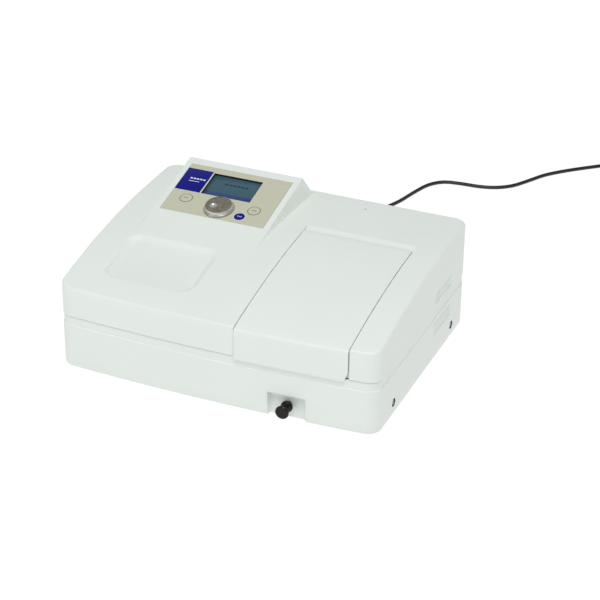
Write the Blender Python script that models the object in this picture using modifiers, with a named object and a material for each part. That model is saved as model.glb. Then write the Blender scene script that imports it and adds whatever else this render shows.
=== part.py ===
"""Benchtop spectrophotometer with a hinged sample lid, a pull-rod cell changer
and a tilted control console.

Metres, +Z up. X runs to the user's right, Y from the front to the back.
The origin is the middle of the footprint, on the surface the feet stand on.
"""
import math

import bmesh
import bpy
from mathutils import Matrix, Vector

# ---------------------------------------------------------------- sizes
# casing
CASE_W = 0.470
CASE_D = 0.356
CORNER_R = 0.020
FRONT_BOW = 0.007
WALL = 0.0025
BASE_H = 0.0654
BAND_H = 0.0125
BAND_INSET = 0.001
SPLIT_GAP = 0.0006
TOP_H = 0.1579
CROWN_START = CASE_D - 0.076
CROWN_DROP = 0.035
CROWN_R = CROWN_START ** 2 / (2 * CROWN_DROP)
EDGE_R = 0.007
FIT_GAP = 0.0003

# feet and side screws
FOOT_H = 0.008
FOOT_R = 0.011
FOOT_INSET = 0.036
FOOT_STUD_R = 0.002
SCREW_H = 0.0176
SCREW_FRONT = 0.0644
SCREW_BACK = 0.2964
SCREW_CUP_R = 0.0055
SCREW_CUP_DEPTH = 0.005
SCREW_HEAD_R = 0.0038
SCREW_SHANK_R = 0.0019

# sample lid and its hinge
SAMPLE_X = CASE_W / 2 - 0.126
LID_X = SAMPLE_X + 0.0045
LID_W = 0.1605
LID_REAR = CASE_D - 0.1225
LID_T = 0.0026
LID_GAP = 0.001
LID_PROUD = 0.0020
SKIRT_H = BASE_H + BAND_H - 0.0027
RECESS = 0.0036
RECESS_T = 0.0024
HINGE_BACK = 0.0045
HINGE_DOWN = 0.0060
HINGE_PIN_R = 0.0015
KNUCKLE_R = 0.0031
KNUCKLE_L = 0.018
LUG_T = 0.005
LUG_R = 0.0026
LUG_FROM_EDGE = 0.010
TROUGH_DEEP = 0.0110
TROUGH_FRONT = 0.013
SCOOP_BACK = 0.014

# sample chamber and cell changer
CHAMBER_W = 0.135
CHAMBER_FRONT = 0.018
CHAMBER_BACK = 0.200
SHEET = 0.0015
BEAM_Y = 0.105
BEAM_H = 0.034
PORT_R = 0.006
CELL_COUNT = 4
CELL_PITCH = 0.020
CELL_W = 0.0125
CELL_H = 0.045
CELL_WALL = 0.00125
CELL_FIT = 0.0004
HOLDER_W = 0.024
HOLDER_END = 0.0115
HOLDER_LOW = 0.0145
HOLDER_TOP = 0.044
HOLDER_FLOOR = 0.003
ROD_H = 0.018
ROD_R = 0.003
ROD_RUN = 0.0002
KNOB_OUT = 0.0225
KNOB_L = 0.0175
KNOB_R = 0.0096
KNOB_REAR_R = 0.0082
KNOB_WAIST_R = 0.0040
NOTCH_W = 0.0545
NOTCH_H = 0.036
NOTCH_DEEP = 0.002

# finger tray in the cover, front left
TRAY_LEFT = -CASE_W / 2 + 0.050
TRAY_W = 0.132
TRAY_FRONT = 0.044
TRAY_BACK = 0.139
TRAY_DEEP = 0.010
TRAY_SLOPE = 0.008

# console: a plate tilted towards the user
PANEL_LEFT = -CASE_W / 2 + 0.0559
PANEL_FRONT = CASE_D - 0.1509
PANEL_LOW = TOP_H + 0.0025
PANEL_W = 0.160
PANEL_L = 0.110
PANEL_TILT = math.radians(12.7)
PANEL_T = 0.0008
RIM_SIDE = 0.0095
RIM_TOP = 0.0145
RIM_UP = 0.0004
CONSOLE_WALL = 0.0035
CONSOLE_DRAFT = math.radians(22)
CONSOLE_LEFT_DRAFT = math.radians(40)
PLATE_W = 0.040
PLATE_LOW = 0.0485
PLATE_HIGH = 0.0995
LCD_LEFT = 0.042
LCD_W = 0.0767
LCD_LOW = 0.0486
LCD_H = 0.0495
DIAL_U = 0.082
DIAL_V = 0.0235
DIAL_R = 0.020
DIAL_H = 0.0075
DIAL_SHAFT_R = 0.003
KEYS = {
    "key_left": (0.0266, 0.0320, 0.0093),
    "key_right": (0.1328, 0.0325, 0.0093),
    "key_blue": (0.1179, 0.0145, 0.0078),
}

# optics and electronics, laid out on the chassis plate
PLATE_H = 0.008
PLATE_T = 0.0025
DECK = PLATE_H + PLATE_T + FIT_GAP
MONO_W = 0.160
MONO_D = 0.140
MONO_H = TOP_H - 0.0829
MONO_WALL = 0.003
GRATING_R = 0.016
LAMP_W = 0.090
LAMP_D = 0.090
LAMP_H = 0.070
FAN_SIZE = 0.060
FAN_D = 0.020
FAN_X = 0.060
INLET_X = -0.060
INLET_H = 0.035
INLET_W = 0.030
INLET_TALL = 0.024
SWITCH_X = -0.105
SWITCH_W = 0.021
SWITCH_TALL = 0.015
ROCKER_OUT = 0.0028
PORT_X = 0.135

# side louvres
LOUVRE_BACK = 0.0685
LOUVRE_L = 0.067
LOUVRE_COUNT = 11
LOUVRE_SLOT = 0.003
LOUVRE_LOW = (0.0385, 0.0575)
LOUVRE_HIGH = (0.0873, 0.1035)

# mains lead
CORD_R = 0.003
CORD_LIE = CORD_R + 0.0002
CONNECTOR_L = 0.030
RELIEF_L = 0.024
COIL_AT = (0.331, 0.790)
COIL_IN = 0.0240
COIL_OUT = 0.0422
COIL_H = 0.0125
PLUG_L = 0.034

# ---------------------------------------------------------------- frame
FRONT_Y = -(CASE_D + ROCKER_OUT - KNOB_OUT) / 2
PANEL_AT = Vector((PANEL_LEFT, FRONT_Y + PANEL_FRONT, FOOT_H + PANEL_LOW))
PANEL_UP = Vector((0, math.cos(PANEL_TILT), math.sin(PANEL_TILT)))
PANEL_OUT = Vector((0, -math.sin(PANEL_TILT), math.cos(PANEL_TILT)))
PANEL_MATRIX = Matrix((
    (1, PANEL_UP.x, PANEL_OUT.x, PANEL_AT.x),
    (0, PANEL_UP.y, PANEL_OUT.y, PANEL_AT.y),
    (0, PANEL_UP.z, PANEL_OUT.z, PANEL_AT.z),
    (0, 0, 0, 1),
))

for old in list(bpy.data.objects):
    bpy.data.objects.remove(old)
model = bpy.data.collections.new("spectrophotometer")
cutters = bpy.data.collections.new("cutters")
bpy.context.scene.collection.children.link(model)
bpy.context.scene.collection.children.link(cutters)


def at(x, depth, height):
    """A point from its distance behind the front and its height over the casing's underside."""
    return Vector((x, FRONT_Y + depth, FOOT_H + height))


def crown(depth):
    """Height of the cover's top over the casing's underside."""
    return TOP_H - max(CROWN_START - depth, 0) ** 2 / (2 * CROWN_R)


# ---------------------------------------------------------------- makers
def material(name, colour, roughness, metallic=0.0):
    mat = bpy.data.materials.new(name)
    mat.use_nodes = True
    shader = mat.node_tree.nodes["Principled BSDF"]
    shader.inputs["Base Color"].default_value = (*colour, 1)
    shader.inputs["Roughness"].default_value = roughness
    shader.inputs["Metallic"].default_value = metallic
    return mat


COVER_WHITE = material("cover_white", (0.76, 0.80, 0.75), 0.45)
PANEL_BEIGE = material("panel_beige", (0.58, 0.56, 0.44), 0.50)
LABEL_BLUE = material("label_blue", (0.01, 0.02, 0.28), 0.35)
LCD_GREY = material("lcd_grey", (0.08, 0.16, 0.20), 0.15)
SATIN_SILVER = material("satin_silver", (0.50, 0.49, 0.43), 0.30, 0.9)
STEEL = material("steel", (0.60, 0.60, 0.60), 0.35, 1.0)
CAST_ALLOY = material("cast_alloy", (0.45, 0.46, 0.47), 0.55, 0.9)
BLACK_PAINT = material("black_paint", (0.02, 0.02, 0.02), 0.60)
BLACK_PLASTIC = material("black_plastic", (0.015, 0.015, 0.015), 0.45)
BLACK_RUBBER = material("black_rubber", (0.02, 0.02, 0.02), 0.85)
CLEAR_GLASS = material("clear_glass", (0.85, 0.92, 0.95), 0.05)
BOARD_GREEN = material("board_green", (0.02, 0.16, 0.06), 0.50)
MIRROR_COAT = material("mirror_coat", (0.90, 0.90, 0.92), 0.05, 1.0)


def finish(bm, name, mat=None, matrix=None, cutter=False, smooth=False):
    mesh = bpy.data.meshes.new(name)
    bmesh.ops.recalc_face_normals(bm, faces=bm.faces)
    bm.to_mesh(mesh)
    bm.free()
    obj = bpy.data.objects.new(name, mesh)
    (cutters if cutter else model).objects.link(obj)
    if matrix is not None:
        obj.matrix_world = matrix
    if mat is not None:
        mesh.materials.append(mat)
    if cutter:
        obj.hide_render = True
        obj.display_type = "WIRE"
    if smooth:
        mesh.shade_smooth()
        mesh.set_sharp_from_angle(angle=math.radians(35))
    return obj


def box(name, low, high, mat=None, origin=None, cutter=False, matrix=None):
    """A box between two corners; its object sits at origin."""
    low, high = Vector(low), Vector(high)
    base = Vector((0, 0, 0)) if origin is None else Vector(origin)
    bm = bmesh.new()
    bmesh.ops.create_cube(bm, size=1)
    bmesh.ops.scale(bm, vec=high - low, verts=bm.verts)
    bmesh.ops.translate(bm, vec=(low + high) / 2 - base, verts=bm.verts)
    place = Matrix.Translation(base) if matrix is None else matrix
    return finish(bm, name, mat, place, cutter)


def rod(name, start, end, radius, mat=None, sides=16, cutter=False, matrix=None):
    """A cylinder from start to end; its object sits at start."""
    start, end = Vector(start), Vector(end)
    along = end - start
    turn = Vector((0, 0, 1)).rotation_difference(along).to_matrix().to_4x4()
    bm = bmesh.new()
    bmesh.ops.create_cone(
        bm, cap_ends=True, segments=sides, radius1=radius, radius2=radius, depth=along.length
    )
    bmesh.ops.translate(bm, vec=(0, 0, along.length / 2), verts=bm.verts)
    place = Matrix.Translation(start) @ turn
    if matrix is not None:
        place = matrix @ place
    return finish(bm, name, mat, place, cutter, smooth=not cutter)


def turned(name, profile, place, mat, steps=24, closed=False):
    """A turned piece: (radius, height) points down its outer side, round its own Z axis."""
    bm = bmesh.new()
    verts = [bm.verts.new((r, 0, z)) for r, z in profile]
    for a, b in zip(verts, verts[1:]):
        bm.edges.new((a, b))
    if closed:
        bm.edges.new((verts[-1], verts[0]))
    mesh = bpy.data.meshes.new(name)
    bm.to_mesh(mesh)
    bm.free()
    mesh.materials.append(mat)
    obj = bpy.data.objects.new(name, mesh)
    model.objects.link(obj)
    obj.matrix_world = place
    screw = obj.modifiers.new("turn", "SCREW")
    screw.steps = steps
    screw.render_steps = steps
    screw.use_merge_vertices = True
    screw.merge_threshold = 0.00001
    return obj


def prism(name, outline, x_low, x_high, mat=None, cutter=False):
    """A side outline of (depth, height) points, extruded across the casing."""
    bm = bmesh.new()
    face = bm.faces.new([bm.verts.new(at(x_low, d, h)) for d, h in outline])
    out = bmesh.ops.extrude_face_region(bm, geom=[face])
    moved = [v for v in out["geom"] if isinstance(v, bmesh.types.BMVert)]
    bmesh.ops.translate(bm, vec=(x_high - x_low, 0, 0), verts=moved)
    return finish(bm, name, mat, None, cutter)


def boolean(target, tool, operation="DIFFERENCE"):
    step = target.modifiers.new(tool.name, "BOOLEAN")
    step.operation = operation
    step.solver = "EXACT"
    step.object = tool


def cut(target, *tools):
    for tool in tools:
        boolean(target, tool)


def join(target, *tools):
    for tool in tools:
        boolean(target, tool, "UNION")


def half_plan(inset):
    """Right half of the casing's outline, from the front's middle round to the back corner."""
    radius = CORNER_R - inset
    side = CASE_W / 2 - inset
    flat = side - radius
    points = []
    for i in range(6):
        x = flat * i / 6
        points.append((x, inset - FRONT_BOW * (1 - (x / flat) ** 2)))
    for i in range(5):
        a = math.radians(-90 + 90 * i / 4)
        points.append((flat + radius * math.cos(a), CORNER_R + radius * math.sin(a)))
    for i in range(1, 8):
        points.append((side, CORNER_R + (CASE_D - 2 * CORNER_R) * i / 8))
    for i in range(5):
        a = math.radians(90 * i / 4)
        back = CASE_D - CORNER_R
        points.append((flat + radius * math.cos(a), back + radius * math.sin(a)))
    return points


def ring(bm, inset, height):
    """A closed loop of the outline; height is a number or a function of the depth."""
    half = half_plan(inset)
    loop = half + [(-x, d) for x, d in half[:0:-1]]
    level = height if callable(height) else (lambda depth: height)
    return [bm.verts.new(at(x, d, level(d))) for x, d in loop]


def wall(bm, lower, upper):
    for i in range(len(lower)):
        j = (i + 1) % len(lower)
        bm.faces.new((lower[i], lower[j], upper[j], upper[i]))


def ladder(bm, loop):
    """Close a loop with strips across the casing, so that the skin follows the crown."""
    count = len(loop) // 2 + 1
    right = loop[:count]
    left = [loop[0]] + loop[:count - 1:-1]
    bm.faces.new((right[0], right[1], left[1]))
    for i in range(1, count - 1):
        bm.faces.new((right[i], right[i + 1], left[i + 1], left[i]))


def crowned(name, inset, low, front_shift=0.0, thickness=None, mat=None, cutter=False):
    """The casing's upper form, open below, or closed when no thickness is given."""
    bm = bmesh.new()
    loops = [ring(bm, inset, low)]
    radius = EDGE_R - min(inset, EDGE_R / 2)
    for i in range(4):
        a = math.radians(30 * i)
        step = inset + radius * (1 - math.cos(a))
        drop = inset + radius * (1 - math.sin(a))
        loops.append(ring(bm, step, lambda depth, d=drop: crown(depth) - d))
    for lower, upper in zip(loops, loops[1:]):
        wall(bm, lower, upper)
    ladder(bm, loops[-1])
    if thickness is None:
        ladder(bm, loops[0])
    if front_shift:
        middle = FRONT_Y + CASE_D / 2
        fronts = [v for v in bm.verts if v.co.y < middle]
        for v in fronts:
            v.co.y -= front_shift * min((middle - v.co.y) / (CASE_D / 2), 1)
    obj = finish(bm, name, mat, None, cutter)
    if thickness is not None:
        skin = obj.modifiers.new("thickness", "SOLIDIFY")
        skin.thickness = thickness
        skin.offset = -1
        skin.use_even_offset = True
    return obj


# ---------------------------------------------------------------- casing
def lower_casing():
    bm = bmesh.new()
    foot = ring(bm, 0.0015, 0)
    rim = ring(bm, 0, 0.0015)
    edge = ring(bm, 0, BASE_H - BAND_INSET)
    band = ring(bm, BAND_INSET, BASE_H)
    top = ring(bm, BAND_INSET, BASE_H + BAND_H)
    ladder(bm, foot)
    for lower, upper in ((foot, rim), (rim, edge), (edge, band), (band, top)):
        wall(bm, lower, upper)
    shell = finish(bm, "lower_casing", COVER_WHITE)
    skin = shell.modifiers.new("thickness", "SOLIDIFY")
    skin.thickness = WALL
    skin.offset = -1
    skin.use_even_offset = True

    half = NOTCH_W / 2
    join(shell, box(
        "notch_liner",
        at(SAMPLE_X - half - WALL, -0.0005, 0.001),
        at(SAMPLE_X + half + WALL, NOTCH_DEEP + WALL, NOTCH_H + WALL),
        cutter=True,
    ))
    cut(shell, box(
        "notch_space",
        at(SAMPLE_X - half, -0.030, -0.010),
        at(SAMPLE_X + half, NOTCH_DEEP, NOTCH_H),
        cutter=True,
    ))
    cut(shell, rod(
        "bush_hole",
        at(SAMPLE_X, -0.005, ROD_H),
        at(SAMPLE_X, NOTCH_DEEP + 0.010, ROD_H),
        ROD_R + ROD_RUN + 0.002 + FIT_GAP,
        cutter=True,
    ))
    for name, side, depth in screw_places():
        x = side * CASE_W / 2
        inner = x - side * (SCREW_CUP_DEPTH + WALL)
        join(shell, rod(
            name + "_cup", at(x - side * 0.001, depth, SCREW_H), at(inner, depth, SCREW_H),
            SCREW_CUP_R + WALL, cutter=True,
        ))
        cut(shell, rod(
            name + "_recess", at(x + side * 0.01, depth, SCREW_H),
            at(x - side * SCREW_CUP_DEPTH, depth, SCREW_H), SCREW_CUP_R, cutter=True,
        ))
        cut(shell, rod(
            name + "_hole", at(x, depth, SCREW_H), at(inner - side * 0.01, depth, SCREW_H),
            SCREW_SHANK_R + FIT_GAP, sides=12, cutter=True,
        ))
    for name, x, depth in foot_places():
        cut(shell, rod(
            name + "_hole", at(x, depth, -0.01), at(x, depth, 0.02),
            FOOT_STUD_R + FIT_GAP, sides=12, cutter=True,
        ))
        join(shell, rod(
            name + "_boss", at(x * 0.8, depth, 0.001), at(x * 0.8, depth, PLATE_H - FIT_GAP),
            0.005, sides=12, cutter=True,
        ))
    cut(shell, *louvres("low", LOUVRE_LOW))
    back = CASE_D
    for name, x, half_w, low, high in (
        ("inlet_hole", INLET_X, INLET_W / 2 - 0.0015, INLET_H - 0.0105, INLET_H + 0.0105),
        ("switch_hole", SWITCH_X, SWITCH_W / 2 - 0.001, INLET_H - 0.0065, INLET_H + 0.0065),
        ("port_hole", PORT_X, 0.0062, INLET_H - 0.0057, INLET_H + 0.0057),
    ):
        cut(shell, box(name, at(x - half_w, back - 0.02, low), at(x + half_w, back + 0.02, high),
                       cutter=True))
    for i in range(8):
        low = 0.0155 + i * 0.0065
        cut(shell, box(
            f"fan_slot_{i}",
            at(FAN_X - 0.024, back - 0.02, low),
            at(FAN_X + 0.024, back + 0.02, low + 0.0032),
            cutter=True,
        ))
    return shell


def louvres(tag, heights):
    """Upright slots through the right-hand wall."""
    pitch = LOUVRE_L / LOUVRE_COUNT
    start = CASE_D - LOUVRE_BACK - LOUVRE_L
    tools = []
    for i in range(LOUVRE_COUNT):
        depth = start + pitch * (i + 0.25)
        tools.append(box(
            f"louvre_{tag}_{i}",
            at(CASE_W / 2 - 0.012, depth, heights[0]),
            at(CASE_W / 2 + 0.012, depth + LOUVRE_SLOT, heights[1]),
            cutter=True,
        ))
    return tools


def console_form(name, inset, low, top_up, cutter=True):
    """The console's wedge: a tilted top, drafted sides and a sloping back."""
    u0 = -RIM_SIDE + inset
    u1 = PANEL_W + RIM_SIDE - inset
    v0 = -0.040 + inset * 2
    v1 = PANEL_L + RIM_TOP - inset
    spread = math.tan(CONSOLE_DRAFT)
    left_spread = math.tan(CONSOLE_LEFT_DRAFT)
    top = [PANEL_MATRIX @ Vector((u, v, top_up)) for u, v in ((u0, v0), (u1, v0), (u1, v1), (u0, v1))]
    floor = FOOT_H + low
    bm = bmesh.new()
    bmesh.ops.create_cube(bm, size=1)
    for vert in bm.verts:
        right = vert.co.x > 0
        rear = vert.co.y > 0
        corner = top[(2 if right else 3) if rear else (1 if right else 0)]
        if vert.co.z > 0:
            vert.co = corner
            continue
        fall = corner.z - floor
        out = fall * spread if right else -fall * left_spread
        back = min(fall, FRONT_Y + CASE_D - EDGE_R - inset - corner.y) if rear else 0
        vert.co = Vector((corner.x + out, corner.y + back, floor))
    return finish(bm, name, None, None, cutter)


def panel_box(name, u, v, w, mat=None, cutter=False):
    """A box in the panel's own frame, from pairs of limits along u, v and outwards."""
    return box(name, (u[0], v[0], w[0]), (u[1], v[1], w[1]), mat, cutter=cutter, matrix=PANEL_MATRIX)


def panel_rod(name, u, v, low, high, radius, cutter=True, sides=24):
    return rod(name, (u, v, low), (u, v, high), radius, sides=sides, cutter=cutter, matrix=PANEL_MATRIX)


def top_cover():
    low = BASE_H + BAND_H + SPLIT_GAP
    cover = crowned("top_cover", 0, low, thickness=WALL, mat=COVER_WHITE)

    lid_low = LID_X - LID_W / 2
    lid_high = LID_X + LID_W / 2
    thick = crowned("lid_surround", 0.001, low + 0.0005, thickness=RECESS + RECESS_T - 0.001,
                    cutter=True)
    boolean(thick, box(
        "lid_surround_limit",
        at(lid_low - 0.004, -0.05, 0), at(lid_high + 0.004, LID_REAR + 0.004, 0.3), cutter=True,
    ), "INTERSECT")
    join(cover, thick)

    hinge = crown(LID_REAR)
    trough = prism("trough_liner", (
        (LID_REAR - TROUGH_FRONT - WALL, hinge - 0.002),
        (LID_REAR - TROUGH_FRONT - WALL, hinge - TROUGH_DEEP - WALL),
        (LID_REAR + 0.0035 + WALL, hinge - TROUGH_DEEP - WALL),
        (LID_REAR + SCOOP_BACK + WALL, hinge - 0.004),
        (LID_REAR + SCOOP_BACK + WALL, hinge - 0.0012),
    ), lid_low - 0.004, lid_high + 0.004, cutter=True)
    join(cover, trough)

    recess = box(
        "lid_recess", at(lid_low - LID_GAP, -0.05, 0.02), at(lid_high + LID_GAP, LID_REAR + LID_GAP, 0.3),
        cutter=True,
    )
    cut(recess, crowned("lid_recess_floor", RECESS, 0.01, cutter=True))
    cut(cover, recess)
    cut(cover, prism("trough_space", (
        (LID_REAR - TROUGH_FRONT, hinge + 0.02),
        (LID_REAR - TROUGH_FRONT, hinge - TROUGH_DEEP),
        (LID_REAR + 0.0035, hinge - TROUGH_DEEP),
        (LID_REAR + 0.0045, hinge - 0.006),
        (LID_REAR + SCOOP_BACK, hinge + 0.0008),
        (LID_REAR + SCOOP_BACK, hinge + 0.02),
    ), lid_low - LID_GAP, lid_high + LID_GAP, cutter=True))
    opening = CHAMBER_W / 2 - SHEET
    cut(cover, box(
        "chamber_opening",
        at(SAMPLE_X - opening, CHAMBER_FRONT + SHEET, 0.08),
        at(SAMPLE_X + opening, CHAMBER_BACK - SHEET, 0.3),
        cutter=True,
    ))
    for side, edge in (("left", lid_low), ("right", lid_high)):
        inward = 1 if side == "left" else -1
        near = edge + inward * LUG_FROM_EDGE
        far = near + inward * LUG_T
        lug = box(
            f"hinge_lug_{side}",
            at(min(near, far), LID_REAR - HINGE_BACK - LUG_R, hinge - TROUGH_DEEP - 0.001),
            at(max(near, far), LID_REAR - HINGE_BACK + LUG_R, hinge - HINGE_DOWN),
            cutter=True,
        )
        boolean(lug, rod(f"hinge_eye_{side}", hinge_point(near), hinge_point(far), LUG_R, sides=24,
                         cutter=True), "UNION")
        join(cover, lug)
    cut(cover, rod(
        "hinge_bore", hinge_point(lid_low + LUG_FROM_EDGE - 0.002),
        hinge_point(lid_high - LUG_FROM_EDGE + 0.002), HINGE_PIN_R + FIT_GAP, sides=16, cutter=True,
    ))

    tray_form("tray_liner", cover, WALL, join)
    tray_form("tray_space", cover, 0, cut)

    ground = crown(PANEL_FRONT)
    join(cover, console_form("console_block", 0, ground - 0.0045, RIM_UP))
    cut(cover, console_form("console_hollow", CONSOLE_WALL, ground - 0.008, RIM_UP - CONSOLE_WALL))
    cut(cover, panel_box("panel_seat", (-FIT_GAP, PANEL_W + FIT_GAP), (-FIT_GAP, PANEL_L + FIT_GAP),
                         (-PANEL_T - FIT_GAP, 0.02), cutter=True))
    cut(cover, panel_box("lcd_opening", (LCD_LEFT, LCD_LEFT + LCD_W), (LCD_LOW, LCD_LOW + LCD_H),
                         (-0.02, 0.02), cutter=True))
    cut(cover, panel_rod("dial_opening", DIAL_U, DIAL_V, -0.02, 0.02, DIAL_SHAFT_R + 0.0015))
    for name, (u, v, r) in KEYS.items():
        cut(cover, panel_rod(name + "_opening", u, v, -0.02, 0.02, r + FIT_GAP))
    cut(cover, *louvres("high", LOUVRE_HIGH))
    return cover


def tray_form(name, cover, grow, action):
    """The shallow tray: sloping walls and an almost level floor that runs out at the front."""
    x0 = TRAY_LEFT
    x1 = TRAY_LEFT + TRAY_W
    floor_back = crown(TRAY_BACK) - TRAY_DEEP - grow
    floor_front = crown(TRAY_FRONT) - 0.0005 - grow
    bm = bmesh.new()
    bmesh.ops.create_cube(bm, size=1)
    for vert in bm.verts:
        upper = vert.co.z > 0
        rear = vert.co.y > 0
        slope = 0 if upper else TRAY_SLOPE
        right = vert.co.x > 0
        x = x1 - slope + grow if right else x0 + slope - grow
        if rear:
            depth = TRAY_BACK - slope + grow
            height = crown(TRAY_BACK) + 0.03 if upper else floor_back
        else:
            depth = TRAY_FRONT - 0.004 - grow
            height = crown(TRAY_BACK) + 0.03 if upper else floor_front
        vert.co = at(x, depth, height)
    obj = finish(bm, name, None, None, True)
    if action is join:
        skin = crowned(name + "_skin", 0.001, 0.02, cutter=True)
        boolean(obj, skin, "INTERSECT")
    action(cover, obj)


# ---------------------------------------------------------------- lid and hinge
def hinge_point(x):
    return at(x, LID_REAR - HINGE_BACK, crown(LID_REAR) - HINGE_DOWN)


def sample_lid():
    low = LID_X - LID_W / 2
    high = LID_X + LID_W / 2
    lid = crowned("sample_lid", 0, SKIRT_H, front_shift=LID_PROUD, thickness=LID_T, mat=COVER_WHITE)
    boolean(lid, box("lid_limit", at(low, -0.05, 0), at(high, LID_REAR, 0.3), cutter=True), "INTERSECT")
    for side, edge in (("left", low), ("right", high)):
        inward = 1 if side == "left" else -1
        near = edge + inward * (LUG_FROM_EDGE + LUG_T + FIT_GAP)
        far = near + inward * KNUCKLE_L
        join(lid, rod(
            f"knuckle_{side}", hinge_point(near), hinge_point(far), KNUCKLE_R, sides=16, cutter=True,
        ))
        join(lid, box(
            f"knuckle_web_{side}",
            at(min(near, far), LID_REAR - HINGE_BACK - 0.0020, crown(LID_REAR) - HINGE_DOWN),
            at(max(near, far), LID_REAR - HINGE_BACK + 0.0020, crown(LID_REAR) - 0.001),
            cutter=True,
        ))
    cut(lid, rod(
        "knuckle_bore", hinge_point(low + 0.004), hinge_point(high - 0.004),
        HINGE_PIN_R + FIT_GAP, sides=16, cutter=True,
    ))
    return lid


def lid_hinge_rod():
    low = LID_X - LID_W / 2 + LUG_FROM_EDGE
    high = LID_X + LID_W / 2 - LUG_FROM_EDGE
    return rod("lid_hinge_rod", hinge_point(low), hinge_point(high), HINGE_PIN_R, STEEL, sides=12)


# ---------------------------------------------------------------- feet and screws
def foot_places():
    for name, sx, depth in (
        ("foot_front_left", -1, FOOT_INSET),
        ("foot_front_right", 1, FOOT_INSET),
        ("foot_back_left", -1, CASE_D - FOOT_INSET),
        ("foot_back_right", 1, CASE_D - FOOT_INSET),
    ):
        yield name, sx * (CASE_W / 2 - FOOT_INSET), depth


def feet():
    for name, x, depth in foot_places():
        profile = (
            (0, 0.0055), (FOOT_STUD_R, 0.0055), (FOOT_STUD_R, -FIT_GAP), (FOOT_R, -FIT_GAP),
            (FOOT_R, -0.0025), (FOOT_R - 0.0015, -FOOT_H + 0.001), (FOOT_R - 0.0025, -FOOT_H),
            (0, -FOOT_H),
        )
        turned(name, profile, Matrix.Translation(at(x, depth, 0)), BLACK_RUBBER, steps=20)


def screw_places():
    for tag, side in (("left", -1), ("right", 1)):
        yield f"screw_front_{tag}", side, SCREW_FRONT
        yield f"screw_back_{tag}", side, SCREW_BACK


def side_screws():
    for name, side, depth in screw_places():
        head = -SCREW_CUP_DEPTH + FIT_GAP
        profile = (
            (0, head + 0.0026), (SCREW_HEAD_R * 0.7, head + 0.0022), (SCREW_HEAD_R, head + 0.0010),
            (SCREW_HEAD_R, head), (SCREW_SHANK_R, head), (SCREW_SHANK_R, head - 0.009),
            (0, head - 0.009),
        )
        turn = Matrix.Rotation(math.radians(90 * side), 4, "Y")
        place = Matrix.Translation(at(side * CASE_W / 2, depth, SCREW_H)) @ turn
        turned(name, profile, place, STEEL, steps=16)


# ---------------------------------------------------------------- console pieces
def membrane_panel():
    panel = panel_box("membrane_panel", (0, PANEL_W), (0, PANEL_L), (-PANEL_T, 0), PANEL_BEIGE)
    cut(panel, panel_box("plate_cutout", (-0.01, PLATE_W + FIT_GAP),
                         (PLATE_LOW - FIT_GAP, PLATE_HIGH + FIT_GAP), (-0.01, 0.01), cutter=True))
    cut(panel, panel_box("window_cutout", (LCD_LEFT, LCD_LEFT + LCD_W),
                         (LCD_LOW, LCD_LOW + LCD_H), (-0.01, 0.01), cutter=True))
    cut(panel, panel_rod("dial_cutout", DIAL_U, DIAL_V, -0.01, 0.01, DIAL_SHAFT_R + 0.001))
    for name, (u, v, r) in KEYS.items():
        cut(panel, panel_rod(name + "_cutout", u, v, -0.01, 0.01, r + FIT_GAP))
    panel_box("name_plate", (0, PLATE_W), (PLATE_LOW, PLATE_HIGH), (-PANEL_T, 0), LABEL_BLUE)


def display():
    under = RIM_UP - CONSOLE_WALL - FIT_GAP
    panel_box("lcd_window", (LCD_LEFT - 0.002, LCD_LEFT + LCD_W + 0.002),
              (LCD_LOW - 0.002, LCD_LOW + LCD_H + 0.002), (under - 0.0012, under), LCD_GREY)
    panel_box("lcd_module", (LCD_LEFT - 0.008, LCD_LEFT + LCD_W + 0.008),
              (LCD_LOW - 0.001, LCD_LOW + LCD_H + 0.006), (under - 0.0085, under - 0.0015),
              BLACK_PLASTIC)
    panel_box("control_board", (0.006, PANEL_W - 0.006), (0.001, PANEL_L - 0.002),
              (under - 0.0105, under - 0.0088), BOARD_GREEN)
    panel_box("dial_encoder", (DIAL_U - 0.007, DIAL_U + 0.007), (DIAL_V - 0.007, DIAL_V + 0.007),
              (under - 0.0085, under - 0.0015), CAST_ALLOY)


def dial():
    profile = (
        (0, DIAL_H - 0.0008), (DIAL_R * 0.60, DIAL_H - 0.0005), (DIAL_R * 0.86, DIAL_H),
        (DIAL_R * 0.95, DIAL_H - 0.0006), (DIAL_R, DIAL_H - 0.0022), (DIAL_R, FIT_GAP),
        (DIAL_SHAFT_R, FIT_GAP), (DIAL_SHAFT_R, -0.0042), (0, -0.0042),
    )
    place = PANEL_MATRIX @ Matrix.Translation((DIAL_U, DIAL_V, 0))
    turned("dial_knob", profile, place, SATIN_SILVER, steps=32)


def keys():
    under = RIM_UP - CONSOLE_WALL - FIT_GAP
    for name, (u, v, r) in KEYS.items():
        profile = (
            (0, 0.0010), (r - 0.0006, 0.0010), (r, 0.0006), (r, under), (r + 0.0012, under),
            (r + 0.0012, under - 0.0012), (0.002, under - 0.0012), (0.002, under - 0.0050),
            (0, under - 0.0050),
        )
        mat = LABEL_BLUE if name == "key_blue" else PANEL_BEIGE
        turned(name, profile, PANEL_MATRIX @ Matrix.Translation((u, v, 0)), mat, steps=24)


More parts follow.
